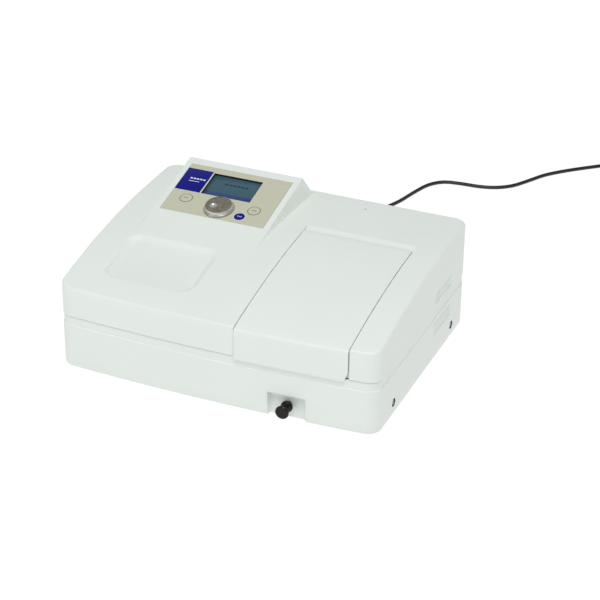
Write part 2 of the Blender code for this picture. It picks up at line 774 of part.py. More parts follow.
# ---------------------------------------------------------------- sample side
def sample_chamber():
    half = CHAMBER_W / 2
    chamber = box("sample_chamber", at(SAMPLE_X - half, CHAMBER_FRONT, DECK),
                  at(SAMPLE_X + half, CHAMBER_BACK, TOP_H), BLACK_PAINT)
    cut(chamber, box("chamber_hollow", at(SAMPLE_X - half + SHEET, CHAMBER_FRONT + SHEET, DECK + SHEET),
                     at(SAMPLE_X + half - SHEET, CHAMBER_BACK - SHEET, 0.3), cutter=True))
    cap = box("chamber_cap", at(SAMPLE_X - half - 0.02, -0.02, 0.05), at(SAMPLE_X + half + 0.02, 0.3, 0.35),
              cutter=True)
    cut(cap, crowned("chamber_cap_floor", RECESS + RECESS_T + 0.0008, 0.01, cutter=True))
    cut(chamber, cap)
    cut(chamber, rod("chamber_ports", at(SAMPLE_X - 0.1, BEAM_Y, BEAM_H), at(SAMPLE_X + 0.1, BEAM_Y, BEAM_H),
                     PORT_R, sides=16, cutter=True))
    cut(chamber, rod("chamber_rod_hole", at(SAMPLE_X, 0, ROD_H), at(SAMPLE_X, 0.04, ROD_H),
                     ROD_R + 0.001, sides=16, cutter=True))
    half_rail = HOLDER_W / 2 - 0.002
    floor = DECK + SHEET + FIT_GAP
    box("carriage_rail", at(SAMPLE_X - half_rail, CHAMBER_FRONT + 0.004, floor),
        at(SAMPLE_X + half_rail, CHAMBER_BACK - 0.004, HOLDER_LOW - FIT_GAP), STEEL)


def cell_places():
    return [BEAM_Y + CELL_PITCH * i for i in range(CELL_COUNT)]


def cell_changer():
    half = HOLDER_W / 2
    places = cell_places()
    carriage = box("cell_carriage", at(SAMPLE_X - half, places[0] - HOLDER_END, HOLDER_LOW),
                   at(SAMPLE_X + half, places[-1] + HOLDER_END, HOLDER_TOP), BLACK_PAINT,
                   origin=at(SAMPLE_X, places[0], HOLDER_LOW))
    seat = CELL_W / 2 + CELL_FIT
    for i, depth in enumerate(places):
        cut(carriage, box(f"seat_{i}", at(SAMPLE_X - seat, depth - seat, HOLDER_LOW + HOLDER_FLOOR),
                          at(SAMPLE_X + seat, depth + seat, 0.1), cutter=True))
        cut(carriage, box(f"window_{i}", at(SAMPLE_X - 0.05, depth - 0.004, BEAM_H - 0.009),
                          at(SAMPLE_X + 0.05, depth + 0.004, 0.1), cutter=True))
        cell(i + 1, depth)
    front = places[0] - HOLDER_END
    tip = front + HOLDER_END - seat - 0.0015
    cut(carriage, rod("rod_socket", at(SAMPLE_X, front - 0.01, ROD_H), at(SAMPLE_X, tip, ROD_H),
                      ROD_R + FIT_GAP, sides=16, cutter=True))
    rod("pull_rod", at(SAMPLE_X, -0.0100, ROD_H), at(SAMPLE_X, tip - FIT_GAP, ROD_H), ROD_R, STEEL, sides=16)


def cell(number, depth):
    half = CELL_W / 2
    low = HOLDER_LOW + HOLDER_FLOOR + FIT_GAP
    cuvette = box(f"cuvette_{number}", at(SAMPLE_X - half, depth - half, low),
                  at(SAMPLE_X + half, depth + half, low + CELL_H), CLEAR_GLASS,
                  origin=at(SAMPLE_X, depth, low))
    inner = half - CELL_WALL
    cut(cuvette, box(f"cuvette_{number}_well", at(SAMPLE_X - inner, depth - inner, low + 0.0015),
                     at(SAMPLE_X + inner, depth + inner, low + CELL_H + 0.01), cutter=True))


def pull_knob():
    tip = -KNOB_OUT
    end = tip + KNOB_L
    bore = ROD_R + FIT_GAP
    profile = (
        (0, -tip), (KNOB_R - 0.0015, -tip), (KNOB_R, -tip - 0.0012), (KNOB_R, -tip - 0.0042),
        (KNOB_R - 0.0010, -tip - 0.0052), (KNOB_WAIST_R + 0.0008, -tip - 0.0064),
        (KNOB_WAIST_R, -tip - 0.0080), (KNOB_WAIST_R, -tip - 0.0105),
        (KNOB_WAIST_R + 0.0008, -tip - 0.0120), (KNOB_REAR_R - 0.0008, -tip - 0.0128),
        (KNOB_REAR_R, -tip - 0.0138), (KNOB_REAR_R, -end), (bore, -end), (bore, 0.0105),
        (0, 0.0105),
    )
    turn = Matrix.Rotation(math.radians(90), 4, "X")
    turned("pull_knob", profile, Matrix.Translation(at(SAMPLE_X, 0, ROD_H)) @ turn, BLACK_PLASTIC)


def rod_bush():
    bore = ROD_R + ROD_RUN
    barrel = bore + 0.002
    flange = bore + 0.004
    face = -NOTCH_DEEP + FIT_GAP
    profile = (
        (barrel, -NOTCH_DEEP - WALL - 0.002), (bore, -NOTCH_DEEP - WALL - 0.002), (bore, face + 0.0015),
        (flange, face + 0.0015), (flange, face), (barrel, face),
    )
    turn = Matrix.Rotation(math.radians(90), 4, "X")
    place = Matrix.Translation(at(SAMPLE_X, 0, ROD_H)) @ turn
    turned("rod_bush", profile, place, BLACK_PLASTIC, steps=20, closed=True)


# ---------------------------------------------------------------- optics and electronics
def chassis_plate():
    side = CASE_W / 2 - 0.018
    box("chassis_plate", at(-side, NOTCH_DEEP + WALL + 0.004, PLATE_H),
        at(side, CASE_D - 0.010, PLATE_H + PLATE_T), CAST_ALLOY)


def monochromator():
    right = SAMPLE_X - CHAMBER_W / 2 - 0.005
    left = right - MONO_W
    front = BEAM_Y - 0.045
    back = front + MONO_D
    top = DECK + MONO_H
    housing = box("monochromator_housing", at(left, front, DECK), at(right, back, top), CAST_ALLOY)
    cut(housing, box("mono_hollow", at(left + MONO_WALL, front + MONO_WALL, DECK + MONO_WALL),
                     at(right - MONO_WALL, back - MONO_WALL, 0.2), cutter=True))
    cut(housing, rod("mono_exit", at(right - 0.02, BEAM_Y, BEAM_H), at(right + 0.02, BEAM_Y, BEAM_H),
                     PORT_R, sides=16, cutter=True))
    entry_x = right - 0.030
    cut(housing, rod("mono_entry", at(entry_x, back - 0.02, BEAM_H), at(entry_x, back + 0.02, BEAM_H),
                     PORT_R, sides=16, cutter=True))
    lid = box("monochromator_lid", at(left, front, top + FIT_GAP), at(right, back, top + 0.003), CAST_ALLOY)
    axis_x = left + 0.045
    axis_y = front + 0.040
    shaft = 0.0025
    cut(lid, rod("grating_shaft_hole", at(axis_x, axis_y, 0.05), at(axis_x, axis_y, 0.12),
                 shaft + 0.001, sides=12, cutter=True))

    table = (
        (0, top + 0.0030), (shaft, top + 0.0030), (shaft, BEAM_H - 0.0125), (GRATING_R, BEAM_H - 0.0125),
        (GRATING_R, BEAM_H - 0.0150), (0, BEAM_H - 0.0150),
    )
    turned("grating_table", table, Matrix.Translation(at(axis_x, axis_y, 0)), CAST_ALLOY, steps=20)
    box("diffraction_grating", at(axis_x + 0.0032, axis_y - 0.0110, BEAM_H - 0.0122),
        at(axis_x + 0.0082, axis_y + 0.0110, BEAM_H + 0.0118), MIRROR_COAT,
        origin=at(axis_x, axis_y, BEAM_H))
    box("grating_motor", at(axis_x - 0.0175, axis_y - 0.0175, top + 0.0036),
        at(axis_x + 0.0175, axis_y + 0.0175, top + 0.0226), BLACK_PAINT)
    floor = DECK + MONO_WALL + FIT_GAP
    box("collimating_mirror", at(left + 0.010, back - 0.055, floor), at(left + 0.018, back - 0.020, 0.055),
        MIRROR_COAT)
    box("exit_slit", at(right + FIT_GAP, BEAM_Y - 0.010, BEAM_H - 0.010),
        at(right + 0.0015, BEAM_Y + 0.010, BEAM_H + 0.010), BLACK_PAINT)
    box("entrance_slit", at(entry_x - 0.010, back + FIT_GAP, BEAM_H - 0.010),
        at(entry_x + 0.010, back + 0.0015, BEAM_H + 0.010), BLACK_PAINT)
    mirror_y = CASE_D - 0.062
    rod("condenser_mirror", at(entry_x - 0.008, mirror_y + 0.008, DECK),
        at(entry_x - 0.008, mirror_y + 0.008, 0.052), 0.008, MIRROR_COAT, sides=16)


def lamp():
    right = CASE_W / 2 - 0.018
    left = right - LAMP_W
    back = CASE_D - 0.024
    front = back - LAMP_D
    house = box("lamp_house", at(left, front, DECK), at(right, back, DECK + LAMP_H), STEEL)
    cut(house, box("lamp_hollow", at(left + SHEET, front + SHEET, DECK + SHEET),
                   at(right - SHEET, back - SHEET, 0.2), cutter=True))
    middle_x = (left + right) / 2
    middle_y = (front + back) / 2
    cut(house, rod("lamp_port", at(left - 0.02, middle_y, BEAM_H), at(left + 0.02, middle_y, BEAM_H),
                   0.010, sides=16, cutter=True))
    floor = DECK + SHEET + FIT_GAP
    rod("lamp_socket", at(middle_x, middle_y, floor), at(middle_x, middle_y, 0.022), 0.011,
        CLEAR_GLASS, sides=16)
    profile = (
        (0, 0.048), (0.0030, 0.0475), (0.0055, 0.044), (0.0058, 0.0300), (0.0045, 0.0223), (0, 0.0223),
    )
    turned("halogen_lamp", profile, Matrix.Translation(at(middle_x, middle_y, 0)), CLEAR_GLASS, steps=16)


def detector():
    left = SAMPLE_X + CHAMBER_W / 2 + 0.0015
    right = left + 0.036
    house = box("detector_housing", at(left, BEAM_Y - 0.020, DECK),
                at(right, BEAM_Y + 0.020, 0.060), BLACK_PAINT)
    cut(house, rod("detector_bore", at(left - 0.01, BEAM_Y, BEAM_H), at(left + 0.020, BEAM_Y, BEAM_H),
                   0.008, sides=16, cutter=True))
    rod("photodiode", at(left + 0.012, BEAM_Y, BEAM_H), at(left + 0.0197, BEAM_Y, BEAM_H), 0.006, CLEAR_GLASS,
        sides=16)


def electronics():
    left = -CASE_W / 2 + 0.024
    deck = DECK + 0.006
    box("main_board", at(left, 0.040, deck), at(left + 0.080, 0.210, deck + 0.0016), BOARD_GREEN)
    box("power_supply", at(INLET_X - 0.095, CASE_D - 0.120, DECK), at(INLET_X - 0.010, CASE_D - 0.055, 0.055),
        CAST_ALLOY)


def rear_fittings():
    back = CASE_D
    low, high = INLET_H - INLET_TALL / 2, INLET_H + INLET_TALL / 2
    inlet = box("mains_inlet", at(INLET_X - INLET_W / 2, back + FIT_GAP, low),
                at(INLET_X + INLET_W / 2, back + 0.0023, high), BLACK_PLASTIC)
    join(inlet, box("inlet_body", at(INLET_X - 0.0130, back - 0.022, INLET_H - 0.0100),
                    at(INLET_X + 0.0130, back + 0.001, INLET_H + 0.0100), cutter=True))
    cut(inlet, box("inlet_well", at(INLET_X - 0.0115, back - 0.017, INLET_H - 0.0078),
                   at(INLET_X + 0.0115, back + 0.010, INLET_H + 0.0078), cutter=True))
    for i, (dx, dh) in enumerate(((-0.007, -0.002), (0, 0.002), (0.007, -0.002))):
        join(inlet, box(f"inlet_pin_{i}", at(INLET_X + dx - 0.001, back - 0.018, INLET_H + dh - 0.002),
                        at(INLET_X + dx + 0.001, back - 0.004, INLET_H + dh + 0.002), cutter=True))

    low, high = INLET_H - SWITCH_TALL / 2, INLET_H + SWITCH_TALL / 2
    bezel = box("switch_bezel", at(SWITCH_X - SWITCH_W / 2, back + FIT_GAP, low),
                at(SWITCH_X + SWITCH_W / 2, back + 0.0018, high), BLACK_PLASTIC)
    join(bezel, box("switch_body", at(SWITCH_X - 0.0090, back - 0.014, INLET_H - 0.0060),
                    at(SWITCH_X + 0.0090, back + 0.001, INLET_H + 0.0060), cutter=True))
    cut(bezel, box("switch_well", at(SWITCH_X - 0.0078, back - 0.011, INLET_H - 0.0048),
                   at(SWITCH_X + 0.0078, back + 0.010, INLET_H + 0.0048), cutter=True))
    rocker()

    port = box("data_port", at(PORT_X - 0.0080, back + FIT_GAP, INLET_H - 0.0075),
               at(PORT_X + 0.0080, back + 0.0013, INLET_H + 0.0075), STEEL)
    join(port, box("port_body", at(PORT_X - 0.0058, back - 0.012, INLET_H - 0.0053),
                   at(PORT_X + 0.0058, back + 0.001, INLET_H + 0.0053), cutter=True))
    cut(port, box("port_well", at(PORT_X - 0.0042, back - 0.009, INLET_H - 0.0039),
                  at(PORT_X + 0.0042, back + 0.010, INLET_H + 0.0039), cutter=True))


def rocker():
    """The rocker turns about an axis along Z through its own object's origin."""
    pivot = at(SWITCH_X, CASE_D - 0.0030, INLET_H)
    tall = 0.0045
    bm = bmesh.new()
    outline = (
        (-0.0063, ROCKER_OUT + 0.0030), (0, 0.0034), (0.0063, 0.0028), (0.0060, -0.0015),
        (0, -0.0035), (-0.0060, -0.0015),
    )
    face = bm.faces.new([bm.verts.new((x, y, -tall)) for x, y in outline])
    out = bmesh.ops.extrude_face_region(bm, geom=[face])
    moved = [v for v in out["geom"] if isinstance(v, bmesh.types.BMVert)]
    bmesh.ops.translate(bm, vec=(0, 0, 2 * tall), verts=moved)
    finish(bm, "power_rocker", BLACK_PLASTIC, Matrix.Translation(pivot))


def fan():
    half = FAN_SIZE / 2
    back = CASE_D - WALL - BAND_INSET - 0.0008
    front = back - FAN_D
    low = PLATE_H + PLATE_T + 0.0012
    middle = low + half
    frame = box("fan_frame", at(FAN_X - half, front, low), at(FAN_X + half, back, low + FAN_SIZE),
                BLACK_PLASTIC)
    cut(frame, rod("fan_duct", at(FAN_X, front + 0.0025, middle), at(FAN_X, back + 0.01, middle),
                   half - 0.0015, sides=24, cutter=True))
    for i in range(4):
        a = math.radians(45 + 90 * i)
        cx, cz = 0.0165 * math.cos(a), 0.0165 * math.sin(a)
        cut(frame, rod(f"fan_inflow_{i}", at(FAN_X + cx, front - 0.01, middle + cz),
                       at(FAN_X + cx, front + 0.01, middle + cz), 0.0095, sides=12, cutter=True))
    turn = Matrix.Rotation(math.radians(90), 4, "X")
    hub = (
        (0, -front - 0.0032), (0.0115, -front - 0.0032), (0.0120, -front - 0.0045), (0.0120, -back + 0.0020),
        (0, -back + 0.0020),
    )
    rotor = turned("fan_rotor", hub, Matrix.Translation(at(FAN_X, 0, middle)) @ turn, BLACK_PLASTIC, steps=20)
    for i in range(7):
        bm = bmesh.new()
        bmesh.ops.create_cube(bm, size=1)
        bmesh.ops.scale(bm, vec=(0.0155, 0.0012, 0.0130), verts=bm.verts)
        bmesh.ops.rotate(bm, matrix=Matrix.Rotation(math.radians(38), 3, "X"), verts=bm.verts)
        bmesh.ops.translate(bm, vec=(0.0190, 0, -(front + back) / 2), verts=bm.verts)
        bmesh.ops.rotate(bm, matrix=Matrix.Rotation(math.tau * i / 7, 3, "Z"), verts=bm.verts)
        blade = finish(bm, f"fan_blade_{i}", None, rotor.matrix_world.copy(), True)
        join(rotor, blade)


# ---------------------------------------------------------------- mains lead
CORD_POINTS = (
    (-0.060, 0.2468, 0.0430), (-0.060, 0.262, 0.0420), (-0.059, 0.279, 0.0340), (-0.0575, 0.297, 0.0195),
    (-0.055, 0.316, 0.0075), (-0.052, 0.338, CORD_LIE), (-0.045, 0.375, CORD_LIE), (-0.034, 0.412, CORD_LIE),
    (-0.019, 0.449, CORD_LIE), (-0.004, 0.483, CORD_LIE), (0.011, 0.520, CORD_LIE), (0.021, 0.560, CORD_LIE),
    (0.033, 0.598, CORD_LIE), (0.053, 0.620, CORD_LIE), (0.082, 0.626, CORD_LIE), (0.112, 0.628, CORD_LIE),
    (0.139, 0.636, CORD_LIE), (0.162, 0.654, CORD_LIE), (0.180, 0.683, CORD_LIE), (0.198, 0.715, CORD_LIE),
    (0.221, 0.742, CORD_LIE), (0.246, 0.766, CORD_LIE), (0.272, 0.789, CORD_LIE), (0.2885, 0.8045, CORD_LIE),
)


def smooth_route(points, per_span):
    """Catmull-Rom points through a route."""
    pts = [Vector(p) for p in points]
    pts = [pts[0] * 2 - pts[1]] + pts + [pts[-1] * 2 - pts[-2]]
    out = []
    for a, b, c, d in zip(pts, pts[1:], pts[2:], pts[3:]):
        for i in range(per_span):
            t = i / per_span
            out.append(0.5 * (2 * b + (c - a) * t + (2 * a - 5 * b + 4 * c - d) * t ** 2
                              + (3 * b - a - 3 * c + d) * t ** 3))
    out.append(pts[-2])
    return out


def mains_cord():
    route = smooth_route(CORD_POINTS, 2)
    data = bpy.data.curves.new("mains_cord", "CURVE")
    data.dimensions = "3D"
    data.bevel_depth = CORD_R
    data.bevel_resolution = 2
    data.render_resolution_u = 0
    data.use_fill_caps = True
    spline = data.splines.new("POLY")
    spline.points.add(len(route) - 1)
    for point, place in zip(spline.points, route):
        point.co = (*place, 1)
    data.materials.append(BLACK_RUBBER)
    model.objects.link(bpy.data.objects.new("mains_cord", data))


def cord_ends():
    back = CASE_D
    front = back + 0.0023 + FIT_GAP
    body = box("cord_connector", at(INLET_X - 0.0125, front, INLET_H - 0.0088),
               at(INLET_X + 0.0125, front + CONNECTOR_L, INLET_H + 0.0088), BLACK_PLASTIC)
    join(body, box("connector_nose", at(INLET_X - 0.0110, back - 0.0030, INLET_H - 0.0074),
                   at(INLET_X + 0.0110, front + 0.001, INLET_H + 0.0074), cutter=True))
    end = front + CONNECTOR_L
    length = FRONT_Y + end
    stop = CORD_POINTS[0][1] - FIT_GAP
    relief = rod("connector_relief", at(INLET_X, end - 0.001, INLET_H),
                 Vector((INLET_X, stop, FOOT_H + INLET_H)), 0.0050, sides=16, cutter=True)
    for vert in relief.data.vertices:
        if vert.co.z > (stop - length) / 2:
            vert.co.x *= 0.78
            vert.co.y *= 0.78
    join(body, relief)
    cx, cy = COIL_AT
    profile = (
        (COIL_IN + 0.0025, COIL_H), (COIL_OUT - 0.0025, COIL_H), (COIL_OUT, COIL_H - 0.003),
        (COIL_OUT, 0.003), (COIL_OUT - 0.0020, 0.0002), (COIL_IN + 0.0020, 0.0002), (COIL_IN, 0.003),
        (COIL_IN, COIL_H - 0.003),
    )
    turned("cord_coil", profile, Matrix.Translation((cx, cy, 0)), BLACK_RUBBER, steps=28, closed=True)
    plug(cx + 0.010, cy + COIL_OUT + 0.0150)


def plug(x, y):
    """A moulded three-pin plug lying beside the coil, its cord end towards -X."""
    half = 0.0125
    low = 0.0005
    body = box("mains_plug", (x, y - half, low), (x + PLUG_L, y + half, low + 0.018), BLACK_PLASTIC)
    middle = low + 0.009
    join(body, rod("plug_relief", (x - 0.020, y, middle), (x + 0.002, y, middle), 0.0045,
                   sides=16, cutter=True))
    for name, dy in (("plug_blade_a", -0.0063), ("plug_blade_b", 0.0063)):
        join(body, box(name, (x + PLUG_L - 0.002, y + dy - 0.0008, middle - 0.0060),
                       (x + PLUG_L + 0.016, y + dy + 0.0008, middle + 0.0004), cutter=True))
    join(body, rod("plug_earth", (x + PLUG_L - 0.002, y, middle + 0.0050),
                   (x + PLUG_L + 0.018, y, middle + 0.0050), 0.0023, sides=12, cutter=True))


lower_casing()
top_cover()
sample_lid()
lid_hinge_rod()
feet()
side_screws()
membrane_panel()
display()
dial()
keys()
sample_chamber()
cell_changer()
pull_knob()
rod_bush()
chassis_plate()
monochromator()
lamp()
detector()
electronics()
rear_fittings()
fan()
mains_cord()
cord_ends()
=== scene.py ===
# %% [markdown]
# # A benchtop spectrophotometer
# The instrument is a low, white, moulded casing with a hinged sample lid on its right, a tilted
# console on its left and a pull rod at the front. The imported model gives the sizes, the bodies
# and the joints. Every piece here rides on one of those bodies, so the lid opens, the rod pulls
# out and the dial turns.

# %% Load the frame
import math

import bmesh
import bpy
from mathutils import Matrix, Vector


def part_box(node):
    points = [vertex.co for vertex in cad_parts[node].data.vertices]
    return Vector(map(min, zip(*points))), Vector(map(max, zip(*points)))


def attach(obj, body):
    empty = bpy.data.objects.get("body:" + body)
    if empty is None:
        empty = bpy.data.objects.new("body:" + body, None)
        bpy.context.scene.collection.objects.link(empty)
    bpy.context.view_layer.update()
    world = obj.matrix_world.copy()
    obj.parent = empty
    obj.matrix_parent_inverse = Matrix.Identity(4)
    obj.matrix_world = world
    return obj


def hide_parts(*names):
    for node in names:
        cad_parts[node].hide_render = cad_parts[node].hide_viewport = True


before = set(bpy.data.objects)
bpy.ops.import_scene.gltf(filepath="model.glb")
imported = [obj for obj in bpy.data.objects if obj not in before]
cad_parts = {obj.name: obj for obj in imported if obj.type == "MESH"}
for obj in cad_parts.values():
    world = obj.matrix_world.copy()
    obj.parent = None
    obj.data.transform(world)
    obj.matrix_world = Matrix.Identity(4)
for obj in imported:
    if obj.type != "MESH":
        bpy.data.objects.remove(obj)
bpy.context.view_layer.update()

# %% [markdown]
# ## Places on the casing
# All places are given the way a toolmaker would: so far behind the front edge, so far over the
# casing's underside. One small function turns such a place into a point, and two more give the
# form of the top and of the front, so that each piece can be written with the sizes it really has.

# %% Sizes of the casing and its places
BOW = 0.007
CORNER = 0.020
shell_low, shell_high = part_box("lower_casing")
FRONT = shell_low.y + BOW
FOOT = shell_low.z
HALF = shell_high.x
DEEP = shell_high.y - FRONT
FLAT = HALF - CORNER
TOP = 0.1579
CROWN_FROM = DEEP - 0.076
CROWN_R = CROWN_FROM ** 2 / (2 * 0.035)
BASE = 0.0654
BAND = 0.0125
SPLIT = 0.0006
print(f"casing {2 * HALF:.3f} wide, {DEEP:.3f} deep, {TOP + FOOT:.3f} high")


def at(x, depth, height):
    """A point on or in the casing."""
    return Vector((x, FRONT + depth, FOOT + height))


def crown(depth):
    """How high the cover's top is over the casing's underside."""
    return TOP - max(CROWN_FROM - depth, 0) ** 2 / (2 * CROWN_R)


def bow(x):
    """How far the front stands out at x."""
    return BOW * (1 - min(abs(x) / FLAT, 1) ** 2)


# %% The console's place and tilt
PANEL_TILT = math.radians(12.7)
PANEL_W = 0.160
PANEL_L = 0.110
PANEL_LEFT = 0.0559 - HALF
PANEL_FRONT = DEEP - 0.1509
PANEL_LOW = TOP + 0.0025
PANEL_PLACE = Matrix.Translation(at(PANEL_LEFT, PANEL_FRONT, PANEL_LOW)) @ Matrix.Rotation(PANEL_TILT, 4, "X")

# %% [markdown]
# ## The camera
# A long lens from far away keeps the casing's edges nearly parallel, as a catalogue picture does.
# The camera stands to the right and looks down, so that the lid, the console, the front and the
# right-hand side all show.

# %% Camera
CAMERA_PITCH = 28.663
CAMERA_YAW = 22.512
CAMERA_ROLL = 0.828
bpy.ops.object.select_all(action="DESELECT")
bpy.ops.object.camera_add(location=(0.9943, -2.26765, 1.4311))
camera = bpy.context.object
camera.name = "camera"
camera.rotation_euler = (
    Matrix.Rotation(math.radians(CAMERA_YAW), 3, "Z")
    @ Matrix.Rotation(math.radians(90 - CAMERA_PITCH), 3, "X")
    @ Matrix.Rotation(math.radians(CAMERA_ROLL), 3, "Z")
).to_euler()
camera.data.sensor_width = 36
camera.data.lens = 120.61
camera.data.clip_end = 50
bpy.context.scene.camera = camera

# %% [markdown]
# ## Finishes
# Colours are written as the hex values one would pick from a swatch. The renderer wants linear
# light, so one function turns them. One more function adds a node with its settings and links,
# which keeps each finish to a few readable lines.


# %% Helpers for finishes
def linear(hex_colour):
    """An sRGB hex colour as linear red, green, blue and alpha."""
    parts = [int(hex_colour[i:i + 2], 16) / 255 for i in (1, 3, 5)]
    return [p / 12.92 if p <= 0.04045 else ((p + 0.055) / 1.055) ** 2.4 for p in parts] + [1.0]


def add(tree, kind, links=None, **settings):
    """One node, with its settings and what feeds its inputs."""
    node = tree.nodes.new(kind)
    for name, value in settings.items():
        if hasattr(node, name):
            setattr(node, name, value)
        else:
            node.inputs[name.replace("_", " ")].default_value = value
    for socket, source in (links or {}).items():
        tree.links.new(source, node.inputs[socket])
    return node


def finish_of(name, colour, roughness, **sockets):
    """A new finish with its plain numbers; gives the material, its tree and its shader."""
    material = bpy.data.materials.new(name)
    material.use_nodes = True
    shader = material.node_tree.nodes["Principled BSDF"]
    shader.inputs["Base Color"].default_value = linear(colour)
    shader.inputs["Roughness"].default_value = roughness
    for socket, value in sockets.items():
        shader.inputs[socket.replace("_", " ")].default_value = value
    return material, material.node_tree, shader


def shades(tree, source, *stops):
    """A colour ramp from (place, hex colour) stops."""
    node = add(tree, "ShaderNodeValToRGB", {"Fac": source})
    ramp = node.color_ramp
    while len(ramp.elements) < len(stops):
        ramp.elements.new(0.5)
    for element, (place, colour) in zip(ramp.elements, stops):
        element.position = place
        element.color = linear(colour)
    return node.outputs["Color"]


def bump(tree, shader, height, strength, distance):
    """Lets a texture raise the surface by up to distance metres."""
    node = add(tree, "ShaderNodeBump", {"Height": height}, Strength=strength, Distance=distance)
    tree.links.new(node.outputs["Normal"], shader.inputs["Normal"])


def grain(tree, size, detail=3.0, stretch=(1, 1, 1)):
    """Noise whose spots are about size metres across."""
    where = add(tree, "ShaderNodeTexCoord")
    turned = add(tree, "ShaderNodeMapping", {"Vector": where.outputs["Object"]})
    turned.inputs["Scale"].default_value = stretch
    noise = add(tree, "ShaderNodeTexNoise", {"Vector": turned.outputs["Vector"]},
                Scale=0.5 / size, Detail=detail)
    return noise.outputs["Fac"]


# %% [markdown]
# ### Moulded casing plastic
# The casing is injection-moulded ABS in a cool, very slightly green white. The mould is
# spark-eroded, which leaves a fine matt texture. The real texture is about 0.3 mm; it is drawn
# at 0.9 mm so that it still breaks the highlights up in a picture of the whole instrument.

# %% ABS
CASING_ABS, tree, shader = finish_of("spark_eroded_abs", "#E9EFE9", 0.42, IOR=1.53)
tone = shades(tree, grain(tree, 0.06), (0.30, "#E8EEE8"), (0.70, "#EAF0EA"))
tree.links.new(tone, shader.inputs["Base Color"])
bump(tree, shader, grain(tree, 0.0009, 2.0), 0.10, 0.0003)

BLACK_ABS, tree, shader = finish_of("black_moulded_abs", "#1B1B1C", 0.38, IOR=1.53)
bump(tree, shader, grain(tree, 0.0006, 2.0), 0.12, 0.0002)

# %% [markdown]
# ### Rubber, PVC and black paint
# The feet are nitrile rubber, the lead has a soft PVC sheath with a faint sheen, and the sample
# chamber is sprayed matt black so that no light wanders in it.

# %% Dark finishes
RUBBER, tree, shader = finish_of("nitrile_rubber", "#1C1C1B", 0.80)
bump(tree, shader, grain(tree, 0.0008), 0.25, 0.0002)

CORD_PVC, tree, shader = finish_of("cord_pvc", "#161718", 0.42, IOR=1.52)
bump(tree, shader, grain(tree, 0.0015), 0.08, 0.0002)

CHAMBER_BLACK, tree, shader = finish_of("matt_black_paint", "#19191A", 0.72)
bump(tree, shader, grain(tree, 0.0005), 0.30, 0.0002)

# %% [markdown]
# ### Metals
# Screws and the pull rod are ground steel. The grinding runs round the rod, so its noise is
# squeezed along one axis. Cast parts inside are grey aluminium with a sandy skin.

# %% Metal finishes
STEEL, tree, shader = finish_of("ground_steel", "#B9BBBD", 0.30, Metallic=1.0)
tree.links.new(
    add(tree, "ShaderNodeMapRange", {"Value": grain(tree, 0.0012, 3.0, (1, 6, 1))},
        To_Min=0.24, To_Max=0.40).outputs["Result"],
    shader.inputs["Roughness"],
)

CAST_ALLOY, tree, shader = finish_of("sand_cast_aluminium", "#9A9C9E", 0.55, Metallic=1.0)
bump(tree, shader, grain(tree, 0.0012, 4.0), 0.35, 0.0003)

MIRROR, tree, shader = finish_of("evaporated_mirror", "#E6E7EA", 0.05, Metallic=1.0)
tree.links.new(shades(tree, grain(tree, 0.004), (0.3, "#DDDFE4"), (0.7, "#F0F0F3")),
               shader.inputs["Base Color"])

# %% [markdown]
# ## Making pieces
# New pieces start from a primitive. These helpers deselect what is there first, because the
# loaded nodes come in selected, and they pick vertices, edges or faces by their place.


# %% Helpers for pieces
def begin():
    """Lets go of whatever is selected."""
    bpy.ops.object.select_all(action="DESELECT")


def named(name, finish):
    """Names the piece just added and gives it a finish."""
    piece = bpy.context.object
    piece.name = piece.data.name = name
    piece.data.materials.clear()
    piece.data.materials.append(finish)
    return piece


def edit(piece):
    """Opens one piece for editing."""
    begin()
    piece.select_set(True)
    bpy.context.view_layer.objects.active = piece
    bpy.ops.object.mode_set(mode="EDIT")


def leave():
    """Ends the editing."""
    bpy.ops.object.mode_set(mode="OBJECT")


def pick(kind, test):
    """Selects the VERT, EDGE or FACE items whose middle passes the test."""
    bpy.ops.mesh.select_mode(type=kind)
    bpy.ops.mesh.select_all(action="DESELECT")
    mesh = bmesh.from_edit_mesh(bpy.context.object.data)
    items = {"VERT": mesh.verts, "EDGE": mesh.edges, "FACE": mesh.faces}[kind]
    count = 0
    for item in items:
        if kind == "VERT":
            middle = item.co
        else:
            middle = sum((v.co for v in item.verts), Vector()) / len(item.verts)
        if test(middle, item):
            item.select = True
            count += 1
    mesh.select_flush_mode()
    bmesh.update_edit_mesh(bpy.context.object.data)
    return count


def move_picked(place):
    """Sets each selected vertex by a function of where it is."""
    mesh = bmesh.from_edit_mesh(bpy.context.object.data)
    for vert in mesh.verts:
        if vert.select:
            vert.co = place(vert.co)
    bmesh.update_edit_mesh(bpy.context.object.data)


def apply(piece, kind, **settings):
    """Adds a modifier and applies it."""
    begin()
    piece.select_set(True)
    bpy.context.view_layer.objects.active = piece
    step = piece.modifiers.new(kind.lower(), kind)
    for name, value in settings.items():
        setattr(step, name, value)
    bpy.ops.object.modifier_apply(modifier=step.name)


def rounded(piece, width, segments=2, angle=35):
    """Breaks the sharp edges, as a mould or a file does, and shades it smooth."""
    apply(piece, "BEVEL", width=width, segments=segments, limit_method="ANGLE",
          angle_limit=math.radians(angle))
    smooth(piece)


def smooth(piece, angle=35):
    """Shades a piece smooth and keeps its edges sharp past an angle."""
    begin()
    piece.select_set(True)
    bpy.context.view_layer.objects.active = piece
    bpy.ops.object.shade_smooth_by_angle(angle=math.radians(angle))


def settle(piece):
    """Puts the piece's place into its mesh, so that its object sits at the origin."""
    begin()
    piece.select_set(True)
    bpy.context.view_layer.objects.active = piece
    bpy.ops.object.transform_apply(location=True, rotation=True, scale=True)
    return piece


